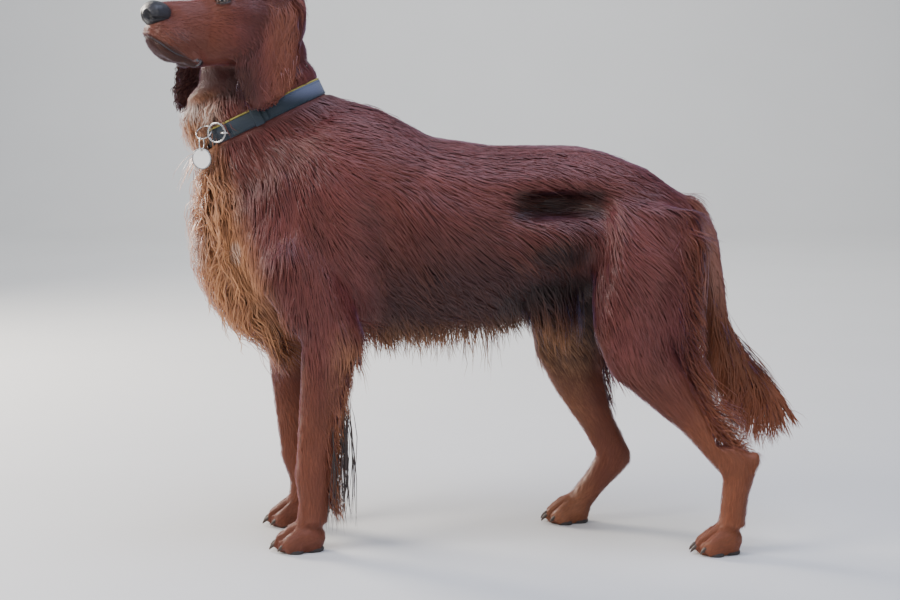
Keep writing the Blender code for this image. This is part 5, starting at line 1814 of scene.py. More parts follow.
class Coat:
    """All the hair, piece by piece."""

    def __init__(self, hide: Hide, finish: CoatFinish) -> None:
        """Sets out the coat.

        Args:
            hide: the skin that it grows from.
            finish: its colours.
        """
        self.hide = hide
        self.material = finish.coat()
        self.ear_material = finish.coat("ear_hair", 0.0)

    def part(self, *starts: str) -> np.ndarray:
        """The skin's triangles that belong to nodes with these names."""
        return self.hide.parts.among(self.hide.ground.part, *starts)

    def piece(self, name: str, tufts: Tufts, slot: Slot, *nodes: str) -> None:
        """Makes a coat piece, which may stand for fringe nodes."""
        material = self.ear_material if slot is Slot.EAR_COAT else self.material
        made = finished(tufts.joined(name), material)
        if nodes:
            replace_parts(made, *nodes)

    def grow(
        self, name: str, chosen: np.ndarray, seed: int, growth: Growth, slot: Slot = Slot.COAT, *nodes: str,
        **how: object,
    ) -> None:
        """Grows one piece straight from some of the skin.

        Args:
            name: its name after `coat_`.
            chosen: which of the skin's triangles it covers.
            seed: its random seed.
            growth: the kind of hair.
            slot: the record's slot for it.
            *nodes: fringe nodes that it stands for.
            **how: lengths, densities and bare places, as Region.grown takes them.
        """
        self.piece("coat_" + name, Region(self.hide, chosen, seed).grown(growth, **how), slot, *nodes)

    def build(self) -> None:
        """Grows every piece of the coat."""
        left = self.hide.ground.middles()[:, 1] < ANATOMY.shift.y
        bare = {"keep": self.off_collar}
        self.head()
        self.grow("ears", self.part("ear"), 12, EAR_HAIR, Slot.EAR_COAT, length_of=self.ear_length)
        self.grow("neck", self.part("neck"), 13, NECK_HAIR, **bare)
        self.grow("chest", self.part("chest_hair"), 14, CHEST_HAIR, Slot.LONG_COAT, "chest_hair", **bare)
        for side, mine in ((Side.LEFT, left), (Side.RIGHT, ~left)):
            end, seed = "_" + side.tag, ord(side.tag)
            self.grow("shoulder" + end, self.part("shoulder" + end), 20 + seed, SHOULDER_HAIR, **bare)
            self.grow("trunk" + end, self.part("trunk") & mine, 40 + seed, TRUNK_HAIR,
                      length_of=self.trunk_length, **bare)
            self.grow("thigh" + end, self.part("thigh" + end), 60 + seed, THIGH_HAIR)
        self.grow("legs", self.part("forearm", "fore_pastern", "shank", "hind_pastern"), 15, LEG_HAIR)
        self.grow("paws", self.part("forepaw", "hindpaw"), 16, PAW_HAIR, keep=self.off_floor)
        self.grow("tail", self.part("tail"), 17, TAIL_HAIR)
        self.throat()
        self.flank()
        self.fringes()
        self.wet_strands()

    def wet_strands(self) -> None:
        """Long dark wet strands that trail behind the near foreleg."""
        rng = np.random.default_rng(91)
        count, steps = 70, np.array(RING_PLACES[4])
        top = ANATOMY.in_body(-0.170, -0.084, 0.225)
        start = np.array(top) + rng.uniform(-1, 1, (count, 3)) * (0.018, 0.012, 0.025)
        end = start + np.stack([rng.uniform(-0.012, 0.014, count), rng.uniform(-0.010, 0.010, count),
                                rng.uniform(0.024, 0.085, count) - start[:, 2]], axis=1)
        t = steps[None, :, None]
        sway = rng.normal(0, 0.006, (count, 1, 3)) * np.sin(math.pi * t) * (1, 1, 0)
        curl = rng.normal(0, 0.0018, (count, 1, 3)) * np.sin(2 * math.pi * t) * (1, 1, 0)
        paths = start[:, None] * (1 - t) + end[:, None] * t + sway + curl
        ups = np.tile(np.array((0.0, -1.0, 0.0)), (count, len(steps), 1))
        tufts = Tufts(paths, ups, rng.uniform(0.0009, 0.0019, count), rng.uniform(size=count),
                      rng.uniform(size=(count, 2)), 0.8)
        shader = Shader("wet_hair")
        shade = shader.noise(shader.place(), 150.0, 3.0)
        shader.set(
            Base_Color=shader.mix(shade, (0.006, 0.004, 0.004, 1.0), (0.048, 0.018, 0.012, 1.0)),
            Roughness=0.20 + shade * 0.25,
            Specular_IOR_Level=0.6,
            Normal=shader.bump(shade, 0.4, 0.0004),
        )
        finished(tufts.joined("wet_strands"), shader.material)

    def throat(self) -> None:
        """Long soft hair under the jaw, which hangs over the strap's front."""
        x, y, z = ANATOMY.body_points(self.hide.ground.middles()).T
        front = ((x < -0.350) | (y > 0.02)) & (x < -0.315) & (z > 0.655)
        self.grow("throat", self.part("neck") & front, 18, THROAT_HAIR, Slot.LONG_COAT, keep=self.off_collar)

    def flank(self) -> None:
        """Long hair on the fold before the thigh and along the belly's sides."""
        x, y, z = ANATOMY.body_points(self.hide.ground.middles()).T
        low = (z < 0.450) & (np.abs(y) > 0.030) & (x > -0.16)
        self.grow("flank", self.part("trunk") & low, 19, FLANK_HAIR, Slot.LONG_COAT)

    def head(self) -> None:
        """Short hair on the face, finest on the muzzle."""
        face = self.part("head", "lower_jaw")
        local = ANATOMY.head_points(self.hide.ground.middles()[face])
        dense = 1 + 1.6 * rise(local[:, 0], -0.11, -0.17)
        self.grow("head", face, 11, FACE_HAIR, length_of=self.face_length, weight=dense, keep=self.on_face)

    @staticmethod
    def face_length(places: np.ndarray) -> np.ndarray:
        """Hair grows longer from the nose back to the neck."""
        x = ANATOMY.head_points(places)[:, 0]
        return 0.42 + 0.5 * rise(x, -0.25, -0.15) + 0.9 * rise(x, -0.12, -0.02)

    @staticmethod
    def on_face(places: np.ndarray) -> np.ndarray:
        """No hair grows on the nose, on the lips' edges or between the lids."""
        local = ANATOMY.head_points(places)
        folded = local.copy()
        folded[:, 1] = np.abs(folded[:, 1])
        bare = (Hide.line_distance(folded) < 0.0020) | (Hide.corner_share(folded) > 0.5)
        bare |= np.linalg.norm((local - NOSE_IN_HEAD) / (0.0260, 0.0240, 0.0205), axis=1) < 1.0
        for eye in EYES:
            at = eye.local(places)
            bare |= (eye.opening(at[:, 1], at[:, 2]) < 1.45) & (at[:, 0] > -0.004) & (np.abs(at[:, 1]) < 0.03)
        return ~bare

    @staticmethod
    def off_collar(places: np.ndarray) -> np.ndarray:
        """No hair shows where the strap lies."""
        under = np.abs(COLLAR_PATH.heights(places)) < COLLAR_PATH.deep / 2 - 0.001
        return ~(COLLAR_PATH.near(places) & under)

    @staticmethod
    def off_floor(places: np.ndarray) -> np.ndarray:
        """No hair grows under the soles."""
        return places[:, 2] > 0.004

    @staticmethod
    def ear_length(places: np.ndarray) -> np.ndarray:
        """The ear that swings forward on the far side has short hair."""
        return np.where(places[:, 1] > ANATOMY.head.translation.y, 0.42, 1.0)

    @staticmethod
    def trunk_length(places: np.ndarray) -> np.ndarray:
        """Hair is shorter on the loin and longer low on the ribs."""
        at = ANATOMY.body_points(places)
        return 1.0 - 0.25 * rise(at[:, 2], 0.50, 0.60) + 0.45 * rise(at[:, 2], 0.42, 0.35)

    def fringes(self) -> None:
        """The long hair under the belly, behind the legs and on the tail."""
        belly = Fringe(
            "feather_belly", ("belly_hair",), ("trunk",),
            self.belly_flow, BELLY_LOCKS, (0.02, 0.08), 71, 0.026,
            (((0.045, 0.0, 0.285), (0.045, 0.05, 0.025), 0.012),
             ((0.165, -0.076, 0.338), (0.044, 0.014, 0.028), 0.18),
             ((0.165, 0.076, 0.338), (0.044, 0.014, 0.028), 0.18)),
        )
        fore = Fringe(
            "feather_forelegs", ("foreleg_hair_l", "foreleg_hair_r"), ("forearm", "shoulder", "fore_pastern"),
            self.fore_flow, FORELEG_LOCKS, (0.03, 0.08), 72, 0.012,
        )
        hind = Fringe(
            "feather_thighs", ("thigh_hair_l", "thigh_hair_r"), ("thigh", "shank"),
            self.hind_flow, THIGH_LOCKS, (0.03, 0.11), 73, 0.016,
            (((0.440, -0.090, 0.180), (0.032, 0.018, 0.050), 0.15),
             ((0.460, -0.093, 0.152), (0.015, 0.011, 0.034), 0.06),
             ((0.404, -0.082, 0.240), (0.014, 0.020, 0.042), 0.15),
             ((0.388, -0.075, 0.325), (0.012, 0.020, 0.055), 0.15),
             ((0.378, -0.068, 0.420), (0.011, 0.020, 0.050), 0.15)),
        )
        flag = Fringe(
            "feather_tail", ("tail_hair",), ("tail",), self.tail_flow, TAIL_LOCKS, (0.04, 0.12), 74, 0.012,
            (((0.440, 0.0, 0.215), (0.030, 0.014, 0.050), 0.11),
             ((0.416, 0.0, 0.258), (0.018, 0.014, 0.040), 0.09),
             ((0.415, 0.0, 0.340), (0.022, 0.016, 0.090), 0.08)),
        )
        for fringe in (belly, fore, hind, flag):
            self.piece(fringe.name, fringe.build(self.hide), Slot.LONG_COAT, *fringe.nodes)

    @staticmethod
    def fixed_flow(points: np.ndarray, x: np.ndarray, z: float = -1.0) -> np.ndarray:
        """Directions with a given lean along the body."""
        return unit(np.stack([x, np.zeros(len(points)), np.full(len(points), z)], axis=1))

    @classmethod
    def belly_flow(cls, points: np.ndarray) -> np.ndarray:
        """Belly hair hangs down, a little back."""
        return cls.fixed_flow(points, 0.18 + 0.25 * swell(points, 0.06, 51))

    @classmethod
    def fore_flow(cls, points: np.ndarray) -> np.ndarray:
        """Foreleg hair leaves backward and falls."""
        return cls.fixed_flow(points, 0.22 + 0.15 * swell(points, 0.05, 52))

    @classmethod
    def hind_flow(cls, points: np.ndarray) -> np.ndarray:
        """Breeching falls behind the thigh."""
        lean = np.where(points[:, 1] < 0, 0.30, 0.10)
        return cls.fixed_flow(points, lean + 0.15 * swell(points, 0.05, 53))

    @classmethod
    def tail_flow(cls, points: np.ndarray) -> np.ndarray:
        """The flag fans out from the bone of the tail."""
        return cls.fixed_flow(points, 0.18 + 3.6 * np.clip(points[:, 0] - 0.42, 0, 0.2))


NOSE_IN_HEAD = (-0.2455, 0.0, 0.0010)


# --- small solid pieces -----------------------------------------------------------------------------
def ring_frames(path: Sequence[Vector], closed: bool) -> List[Matrix]:
    """A frame at each point of a path, with z along it, that turns as little as it can.

    Args:
        path: the points.
        closed: whether the last meets the first.

    Returns:
        One matrix for each point.
    """
    count = len(path)
    frames, side = [], None
    for k, here in enumerate(path):
        ahead = path[(k + 1) % count] if closed or k + 1 < count else here
        behind = path[k - 1] if closed or k > 0 else here
        way = (ahead - behind).normalized()
        if side is None:
            side = way.orthogonal()
        side = (side - way * side.dot(way)).normalized()
        turn = Matrix((side, way.cross(side), way)).transposed().to_4x4()
        frames.append(Matrix.Translation(here) @ turn)
    return frames


def ring_edges(bm: bmesh.types.BMesh, ring: Sequence[bmesh.types.BMVert]) -> List[bmesh.types.BMEdge]:
    """The edges that join a ring of points."""
    return [bm.edges.get((ring[k], ring[(k + 1) % len(ring)])) for k in range(len(ring))]


def drawn(bm: bmesh.types.BMesh, rings: Sequence[Sequence[Vector]]) -> List[List[bmesh.types.BMVert]]:
    """Extrudes a first ring of points through all the others, and leaves both ends open.

    Args:
        bm: where it is made.
        rings: the places of each ring's points, in the same order round.

    Returns:
        The made points, ring by ring.
    """
    layers = [list(bmesh.ops.create_circle(bm, cap_ends=False, segments=len(rings[0]), radius=1)["verts"])]
    for _ in rings[1:]:
        last = layers[-1]
        grown = bmesh.ops.extrude_edge_only(bm, edges=ring_edges(bm, last))["geom"]
        spare = {item for item in grown if isinstance(item, bmesh.types.BMVert)}
        layers.append([next(e.other_vert(v) for e in v.link_edges if e.other_vert(v) in spare) for v in last])
    for layer, places in zip(layers, rings):
        for vertex, at in zip(layer, places):
            vertex.co = at
    return layers


def ended(bm: bmesh.types.BMesh, layers: Sequence[List[bmesh.types.BMVert]], closed: bool) -> None:
    """Joins a drawn form's two ends to each other, or fills them, and turns its faces outward."""
    if closed:
        bmesh.ops.bridge_loops(bm, edges=ring_edges(bm, layers[0]) + ring_edges(bm, layers[-1]))
    else:
        bmesh.ops.holes_fill(bm, edges=bm.edges, sides=0)
    bmesh.ops.recalc_face_normals(bm, faces=bm.faces)


def swept(
    bm: bmesh.types.BMesh,
    path: Sequence[Vector],
    radii: Sequence[float],
    sides: int = 8,
    closed: bool = False,
) -> None:
    """Extrudes a round section along a path.

    Args:
        bm: where it is made.
        path: the points of its middle line.
        radii: the radius at each point.
        sides: faces round the section.
        closed: whether the path is a loop.
    """
    angles = [2 * math.pi * k / sides for k in range(sides)]
    section = [Vector((math.cos(a), math.sin(a), 0)) for a in angles]
    rings = [[f @ (v * r) for v in section] for f, r in zip(ring_frames(path, closed), radii)]
    ended(bm, drawn(bm, rings), closed)


def add_swept(bm: bmesh.types.BMesh, path: Sequence[Vector], radii: Sequence[float], sides: int) -> None:
    """Adds a swept shape to others, made apart so that its ends close on their own."""
    part = bmesh.new()
    swept(part, path, radii, sides)
    mesh = bpy.data.meshes.new("swept")
    part.to_mesh(mesh)
    part.free()
    bm.from_mesh(mesh)
    bpy.data.meshes.remove(mesh)


def smooth_path(knots: Sequence[Vector], cuts: int) -> List[Vector]:
    """A smooth curve through knots, with some points between each pair."""
    path = []
    for k in range(len(knots) - 1):
        before, after = knots[max(k - 1, 0)], knots[min(k + 2, len(knots) - 1)]
        a, b = knots[k], knots[k + 1]
        for step in range(cuts):
            t = step / cuts
            path.append(0.5 * (2 * a + (b - before) * t + (2 * before - 5 * a + 4 * b - after) * t * t
                               + (3 * a - before - 3 * b + after) * t**3))
    return path + [knots[-1]]


def moved_points(bm: bmesh.types.BMesh, move: Callable[[np.ndarray], np.ndarray]) -> None:
    """Moves all points of a bmesh by one array function."""
    points = np.array([v.co[:] for v in bm.verts])
    for vertex, at in zip(bm.verts, move(points)):
        vertex.co = at


def softened(bm: bmesh.types.BMesh) -> None:
    """Draws each point half-way to its neighbours' mean."""
    axes = {"use_axis_x": True, "use_axis_y": True, "use_axis_z": True}
    bmesh.ops.smooth_vert(bm, verts=bm.verts, factor=0.5, **axes)


@dataclass(frozen=True)
class Nose:
    """The nose pad with its nostrils, slits and groove."""

    radii: Triple = (0.0165, 0.0252, 0.0212)
    nostril: Tuple[float, float] = (0.0122, -0.0005)
    slit: Tuple[Tuple[float, float], ...] = ((0.0140, -0.0030), (0.0185, -0.0056), (0.0228, -0.0045))

    def build(self) -> None:
        """Makes and dresses the nose."""
        bm = bmesh.new()
        bmesh.ops.create_icosphere(bm, subdivisions=6, radius=1)
        moved_points(bm, self.shaped)
        softened(bm)
        bm.transform(ANATOMY.head @ Matrix.Translation(NOSE_IN_HEAD))
        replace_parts(finished(from_bmesh("nose_pad", bm), self.material()), "nose")

    def shaped(self, ball: np.ndarray) -> np.ndarray:
        """The pad's form, from the points of a ball.

        Args:
            ball: points at length 1, with x towards the back of the head.

        Returns:
            The moved points, in metres.
        """
        high = ball[:, 2]
        points = ball * self.radii
        points[:, 0] *= 1 + 1.00 * rise(ball[:, 0], -0.1, 0.3)
        points[:, 1] *= 1 - 0.30 * rise(high, 0.05, -1.0) + 0.05 * rise(high, 0.0, 0.6)
        points[:, 0] += 0.0050 * rise(high, 0.10, -1.0) + 0.0012 * rise(high, 0.5, 1.0)
        side, up = np.abs(points[:, 1]), points[:, 2]
        front = rise(-ball[:, 0], -0.15, 0.35)
        hole = np.hypot((side - self.nostril[0]) / 0.0056, (up - self.nostril[1]) / 0.0056)
        points[:, 0] += 0.0085 * np.exp(-(hole**4)) * front
        points[:, 0] -= 0.0011 * np.exp(-(((hole - 1.55) / 0.35) ** 2)) * front
        slit = np.full(len(points), 1.0)
        for (ay, az), (by, bz) in zip(self.slit[:-1], self.slit[1:]):
            run = np.array((by - ay, bz - az))
            at = np.stack([side - ay, up - az], axis=1)
            along = np.clip((at @ run) / (run @ run), 0, 1)
            slit = np.minimum(slit, np.linalg.norm(at - along[:, None] * run, axis=1))
        inward = -unit(ball / self.radii)
        points += inward * (0.0036 * np.exp(-((slit / 0.0013) ** 2)) * rise(-ball[:, 0], -0.45, 0.0))[:, None]
        groove = np.exp(-((points[:, 1] / 0.0010) ** 2)) * front
        points[:, 0] += groove * (0.0005 + 0.0018 * rise(up, 0.002, -0.006))
        return points

    @staticmethod
    def material() -> bpy.types.Material:
        """Dark, damp, pebbled skin."""
        shader = Shader("nose_skin")
        place = shader.place()
        grain = shader.noise(place, 260.0, 3.0)
        cells = shader.cells(place, 720.0).step(0.0, 0.16)
        shader.set(
            Base_Color=shader.mix(grain, (0.004, 0.004, 0.006, 1.0), (0.014, 0.013, 0.019, 1.0)),
            Roughness=0.32 + grain * 0.20,
            Specular_IOR_Level=0.5,
            Coat_Weight=0.35 * grain.step(0.30, 0.7),
            Coat_Roughness=0.16,
            Normal=shader.bump(cells, 0.75, 0.00035),
        )
        return shader.material


@dataclass(frozen=True)
class EyeSet:
    """Both eyeballs and their lids."""

    iris: float = 0.0066
    pupil: float = 0.0027
    steps: int = 56
    lid_rings: Tuple[Tuple[float, ...], ...] = (  # reach, height on the ball, share of skin, rim
        (0.84, 0.0001, 0.0, 1.0), (0.95, 0.0005, 0.0, 1.0), (1.01, 0.0014, 0.0, 1.0),
        (1.10, 0.0021, 0.0, 0.9), (1.26, 0.0024, 0.25, 0.25), (1.50, 0.0020, 0.75, 0.0),
        (1.80, 0.0, 1.0, 0.0), (2.10, 0.0, 1.0, 0.0),
    )

    def build(self, hide: Hide, skin: bpy.types.Material) -> None:
        """Makes both sides.

        Args:
            hide: the skin that the lids grow out of.
            skin: the lids' material.
        """
        for eye in EYES:
            self.ball(eye)
            self.lids(eye, hide, skin)

    def ball(self, eye: Eye) -> None:
        """The eyeball with its swelling cornea."""
        bm = bmesh.new()
        bmesh.ops.create_icosphere(bm, subdivisions=5, radius=eye.radius)
        moved_points(bm, self.bulged)
        bm.transform(Matrix.Translation(eye.middle) @ eye.axes().to_4x4())
        bm.normal_update()
        bmesh.ops.recalc_face_normals(bm, faces=bm.faces)
        ball = finished(from_bmesh("eyeball_" + eye.side.tag, bm), self.material(eye))
        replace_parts(ball, "eye_" + eye.side.tag)

    def bulged(self, points: np.ndarray) -> np.ndarray:
        """Pushes the cornea out of the ball."""
        far = np.hypot(points[:, 1], points[:, 2])
        points[:, 0] += 0.0010 * np.clip(1 - (far / 0.0072) ** 2, 0, 1) * (points[:, 0] > 0)
        return points

    def material(self, eye: Eye) -> bpy.types.Material:
        """Dark hazel iris, wide pupil and a wet gloss."""
        shader = Shader("eye_" + eye.side.tag)
        out = eye.axes().col[0]
        kind = "ShaderNodeVectorMath"
        inward = shader.vector("SUBTRACT", shader.place(), eye.middle[:])
        deep = shader.vector("DOT_PRODUCT", inward, out[:], "Value")
        axial = shader.node(kind, {"operation": "SCALE"}, {0: tuple(out), "Scale": deep})
        flat = shader.vector("SUBTRACT", inward, axial)
        far = shader.node(kind, {"operation": "LENGTH"}, {0: flat}, "Value")
        way = shader.node(kind, {"operation": "NORMALIZE"}, {0: flat})
        fibres = shader.noise(way, 9.0, 4.0)
        iris = shader.mix(fibres.step(0.3, 0.7), (0.014, 0.005, 0.003, 1.0), (0.055, 0.021, 0.007, 1.0))
        iris = shader.mix(far.step(self.iris * 0.72, self.iris), iris, (0.012, 0.006, 0.004, 1.0))
        white = shader.mix(fibres, (0.16, 0.11, 0.09, 1.0), (0.09, 0.05, 0.04, 1.0))
        colour = shader.mix(far.step(self.iris * 0.97, self.iris * 1.06), iris, white)
        pupil = far.step(self.pupil * 1.08, self.pupil * 0.92)
        colour = shader.mix(pupil, colour, (0.003, 0.003, 0.004, 1.0))
        shader.set(Base_Color=colour, Roughness=0.20, Specular_IOR_Level=0.5)
        shader.set(Coat_Weight=1.0, Coat_Roughness=0.02)
        return shader.material

    def lids(self, eye: Eye, hide: Hide, skin: bpy.types.Material) -> None:
        """A dark-rimmed shell that rises from the skin to the edge of the opening."""
        bm = bmesh.new()
        angles = [2 * math.pi * k / self.steps for k in range(self.steps)]
        rings = []
        for reach, lift, share, _ in self.lid_rings:
            places = []
            for a in angles:
                y, z = self.almond(eye, a, reach)
                ball = eye.radius + lift
                x = math.sqrt(max(ball * ball - y * y - z * z, 0.0))
                at = eye.middle + eye.axes() @ Vector((x, y, z))
                if share > 0:
                    guess = eye.middle + eye.axes() @ Vector((max(x, 0.008), y, z))
                    near, normal, _, _ = hide.ground.tree.find_nearest(guess)
                    sunk = near - normal * (0.0016 if reach > 2 else 0.0004 if reach > 1.7 else -0.0008)
                    at = at.lerp(sunk, share)
                places.append(at)
            rings.append(places)
        layers = drawn(bm, rings)
        bm.verts.index_update()
        rims = np.zeros(len(bm.verts))
        for layer, spec in zip(layers, self.lid_rings):
            rims[[v.index for v in layer]] = spec[3]
        bm.normal_update()
        middle_face = next(iter(bm.faces))
        if middle_face.normal.dot(eye.axes().col[0]) < 0:
            bmesh.ops.reverse_faces(bm, faces=bm.faces)
        lid = from_bmesh("lids_" + eye.side.tag, bm)
        lie = np.tile(np.array(ANATOMY.head.to_3x3() @ Vector((1, 0, 0))), (len(lid.data.vertices), 1))
        lid.data.attributes.new("lip", "FLOAT", "POINT").data.foreach_set("value", rims)
        lid.data.attributes.new("gilt", "FLOAT", "POINT").data.foreach_set("value", np.ones(len(rims)))
        lid.data.attributes.new("lie", "FLOAT_VECTOR", "POINT").data.foreach_set("vector", lie.ravel())
        thick = lid.modifiers.new("thick", "SOLIDIFY")
        thick.thickness, thick.offset = 0.0006, -1.0
        finished(lid, skin)

    @staticmethod
    def almond(eye: Eye, angle: float, reach: float) -> Tuple[float, float]:
        """A place on the opening's outline, with pointed corners and a drawn inner one."""
        y, z = math.cos(angle), math.sin(angle)
        high = eye.half_high if z > 0 else eye.half_high * 0.82
        point = math.copysign(abs(z) ** 1.25, z) if reach < 1.2 else z
        inner = 1.12 if y < 0 and reach < 1.2 else 1.0
        droop = -0.0012 * max(-y, 0.0) ** 2
        return y * eye.half_long * reach * inner, point * high * reach + droop


@dataclass(frozen=True)
class Mouth:
    """The dark edges of the closed lips, and the whiskers above them."""

    lip_radius: float = 0.0014
    whiskers: int = 14
    corner: Tuple[Tuple[Triple, float], ...] = (  # the wet fold at the corner of the lips: place and radius
        ((-0.192, 0.0305, -0.0660), 0.0015), ((-0.184, 0.0320, -0.0650), 0.0040),
        ((-0.176, 0.0330, -0.0660), 0.0062), ((-0.173, 0.0330, -0.0725), 0.0062),
        ((-0.178, 0.0320, -0.0780), 0.0038), ((-0.185, 0.0300, -0.0795), 0.0010),
    )
    proud: float = 0.0020  # how far that fold stands out of the skin

    def build(self, hide: Hide) -> None:
        """Makes the lips and whiskers."""
        bm = bmesh.new()
        for side in Side:
            path = self.line(hide, side)
            swells = [math.sin(math.pi * min(1, 0.15 + k / len(path))) for k in range(len(path))]
            add_swept(bm, path, [self.lip_radius * (0.4 + 0.6 * share) for share in swells], 8)
        finished(from_bmesh("lips", bm), self.lip_material("lip_skin", 0.28, 0.0))
        self.corners(hide)
        self.whisker_piece(hide)

    def corners(self, hide: Hide) -> None:
        """The wet folds at the corners of the lips, half sunk in the skin."""
        bm = bmesh.new()
        for side in Side:
            knots = []
            for (x, y, z), radius in self.corner:
                near, normal, _, _ = hide.ground.tree.find_nearest(ANATOMY.in_head(x, y * side.value, z))
                knots.append(near + normal * (min(self.proud, radius) - radius))
            path = smooth_path(knots, 4)
            spread = np.linspace(0, len(self.corner) - 1, len(path))
            radii = np.interp(spread, range(len(self.corner)), [radius for _, radius in self.corner])
            add_swept(bm, path, list(radii), 14)
        softened(bm)
        finished(from_bmesh("lip_corners", bm), self.lip_material("wet_lip", 0.06, 1.0))

    @staticmethod
    def line(hide: Hide, side: Side) -> List[Vector]:
        """The mouth's line laid on the skin, as a fine path."""
        knots = [ANATOMY.in_head(x, y * side.value, z) for x, y, z in MOUTH_LINE]
        path = []
        for a, b in zip(knots[:-1], knots[1:]):
            for k in range(5):
                near, normal, _, _ = hide.ground.tree.find_nearest(a.lerp(b, k / 5))
                path.append(near + normal * 0.0002)
        return smooth_path(path, 1)

    @staticmethod
    def lip_material(name: str, rough: float, wet: float) -> bpy.types.Material:
        """Dark skin, damp or wet.

        Args:
            name: the material's name.
            rough: its least roughness.
            wet: 1 where spittle coats it.

        Returns:
            The material.
        """
        shader = Shader(name)
        place = shader.place()
        grain = shader.noise(place, 500.0, 3.0)
        folds = shader.noise(place, 230.0, 2.0)
        shader.set(
            Base_Color=shader.mix(grain, (0.012, 0.010, 0.014, 1.0), (0.045, 0.028, 0.032, 1.0)),
            Roughness=rough + grain * 0.18,
            Specular_IOR_Level=0.6,
            Coat_Weight=wet,
            Coat_Roughness=0.04,
            Normal=shader.bump(folds + grain * 0.4, 0.8, 0.0010),
        )
        return shader.material

    def whisker_piece(self, hide: Hide) -> None:
        """Stiff dark hairs on the whisker beds, brows and chin."""
        rng = np.random.default_rng(81)
        places, ways = [], []
        for side in Side:
            for k in range(self.whiskers):
                row, step = k % 4, k // 4
                x, z = -0.238 + 0.0085 * step + 0.003 * (row % 2), -0.022 - 0.0085 * row
                ways.append((rng.uniform(0.15, 0.55), side.value, rng.uniform(-0.55, 0.05)))
                places.append((x + rng.normal(0, 0.001), 0.030 * side.value, z + rng.normal(0, 0.001)))
            for k in range(4):
                places.append((-0.140 + 0.004 * k, side.value * 0.026, 0.046))
                ways.append((0.25, side.value * 0.5, 0.8))
        turn = np.array(ANATOMY.head.to_3x3())
        starts = np.array([ANATOMY.in_head(*p)[:] for p in places])
        near, _, _ = hide.ground.nearest(starts)
        way = unit(np.array(ways) @ turn.T)
        length = rng.uniform(0.014, 0.028, len(near)) * np.where(np.array(places)[:, 2] > 0, 0.5, 1.0)
        bend = (np.array((0.0, 0.0, -1.0)) + turn[:, 0]) * 0.25
        steps = RING_PLACES[4]
        paths = [near + way * (length * t)[:, None] + bend * (length * t * t)[:, None] for t in steps]
        ups = np.tile(np.array((0.0, 0.0, 1.0)), (len(near), len(steps), 1))
        spots = rng.uniform(size=(len(near), 2))
        width = np.full(len(near), 0.00032)
        tufts = Tufts(np.stack(paths, axis=1), ups, width, np.zeros(len(near)), spots, 0.9)
        shader = Shader("whisker")
        shade = shader.noise(shader.place(), 120.0)
        colour = shader.mix(shade, (0.020, 0.009, 0.007, 1.0), (0.06, 0.03, 0.02, 1.0))
        shader.set(Base_Color=colour, Roughness=0.55)
        finished(tufts.joined("whiskers"), shader.material)


@dataclass(frozen=True)
class Feet:
    """Claws and pads."""

    def build(self) -> None:
        """Makes all claws as one piece and all pads as another."""
        claws, pads = bmesh.new(), bmesh.new()
        for paw in PAWS:
            middle, scale = paw.middle, paw.scale
            for ahead, aside, length in TOES:
                for way in (-1, 1):
                    self.claw(claws, middle, scale, ahead - length, aside * way)
                    at = middle + Vector((ahead + 0.004, aside * way, 0)) * scale
                    self.pad(pads, at, (0.0130 * scale, 0.0088 * scale, 0.0062))
            self.pad(pads, middle + Vector((0.012 * scale, 0, 0)), (0.0180 * scale, 0.0185 * scale, 0.0080))
        finished(from_bmesh("claws", claws), self.horn())
        finished(from_bmesh("pads", pads), self.leather())

    @staticmethod
    def claw(bm: bmesh.types.BMesh, middle: Vector, scale: float, ahead: float, aside: float) -> None:
        """One curved claw, thick at its root."""
        root = middle + Vector((ahead + 0.0065, aside, 0)) * scale + Vector((0, 0, 0.0135))
        spread = aside * 0.06
        steps = (0.0, 0.25, 0.5, 0.75, 0.92, 1.0)
        path = [root + Vector((-0.0125 * t * scale, spread * t, -0.0012 * t - 0.0088 * t * t)) for t in steps]
        add_swept(bm, path, [0.0036, 0.0036, 0.0031, 0.0022, 0.0013, 0.0005], 10)

    @staticmethod
    def pad(bm: bmesh.types.BMesh, at: Vector, size: Triple) -> None:
        """One pad: a low dome that is flat where it meets the floor."""
        made = bmesh.ops.create_icosphere(bm, subdivisions=3, radius=1)["verts"]
        for vertex in made:
            x, y, z = vertex.co
            vertex.co = at + Vector((x * size[0], y * size[1], max(z * size[2] + 0.003, 0.0)))

    @staticmethod
    def horn() -> bpy.types.Material:
        """Dark horn, paler and worn at the tip."""
        shader = Shader("claw_horn")
        place = shader.place()
        streak = shader.noise(shader.scaled(place, (120.0, 900.0, 500.0)), 1.0, 3.0)
        height = shader.axes(place)[2]
        colour = shader.mix(streak, (0.020, 0.014, 0.012, 1.0), (0.085, 0.055, 0.040, 1.0))
        shader.set(
            Base_Color=shader.mix(height.step(0.0065, 0.0025) * 0.6, colour, (0.20, 0.15, 0.11, 1.0)),
            Roughness=0.34 + streak * 0.2,
            Normal=shader.bump(streak, 0.35, 0.0002),
        )
        return shader.material

    @staticmethod
    def leather() -> bpy.types.Material:
        """Rough black pad skin."""
        shader = Shader("pad_leather")
        place = shader.place()
        cells = shader.cells(place, 900.0).step(0, 0.2)
        grain = shader.noise(place, 200.0, 3.0)
        shader.set(
            Base_Color=shader.mix(grain, (0.018, 0.015, 0.015, 1.0), (0.055, 0.045, 0.043, 1.0)),
            Roughness=0.55 + grain * 0.25,
            Normal=shader.bump(cells, 0.8, 0.0003),
        )
        return shader.material


# --- the collar -------------------------------------------------------------------------------------
STRAP_RADIUS = 0.083  # mean radius of the strap's oval, for the length of its weave
RING_STEPS = 48  # sections round a ring of wire


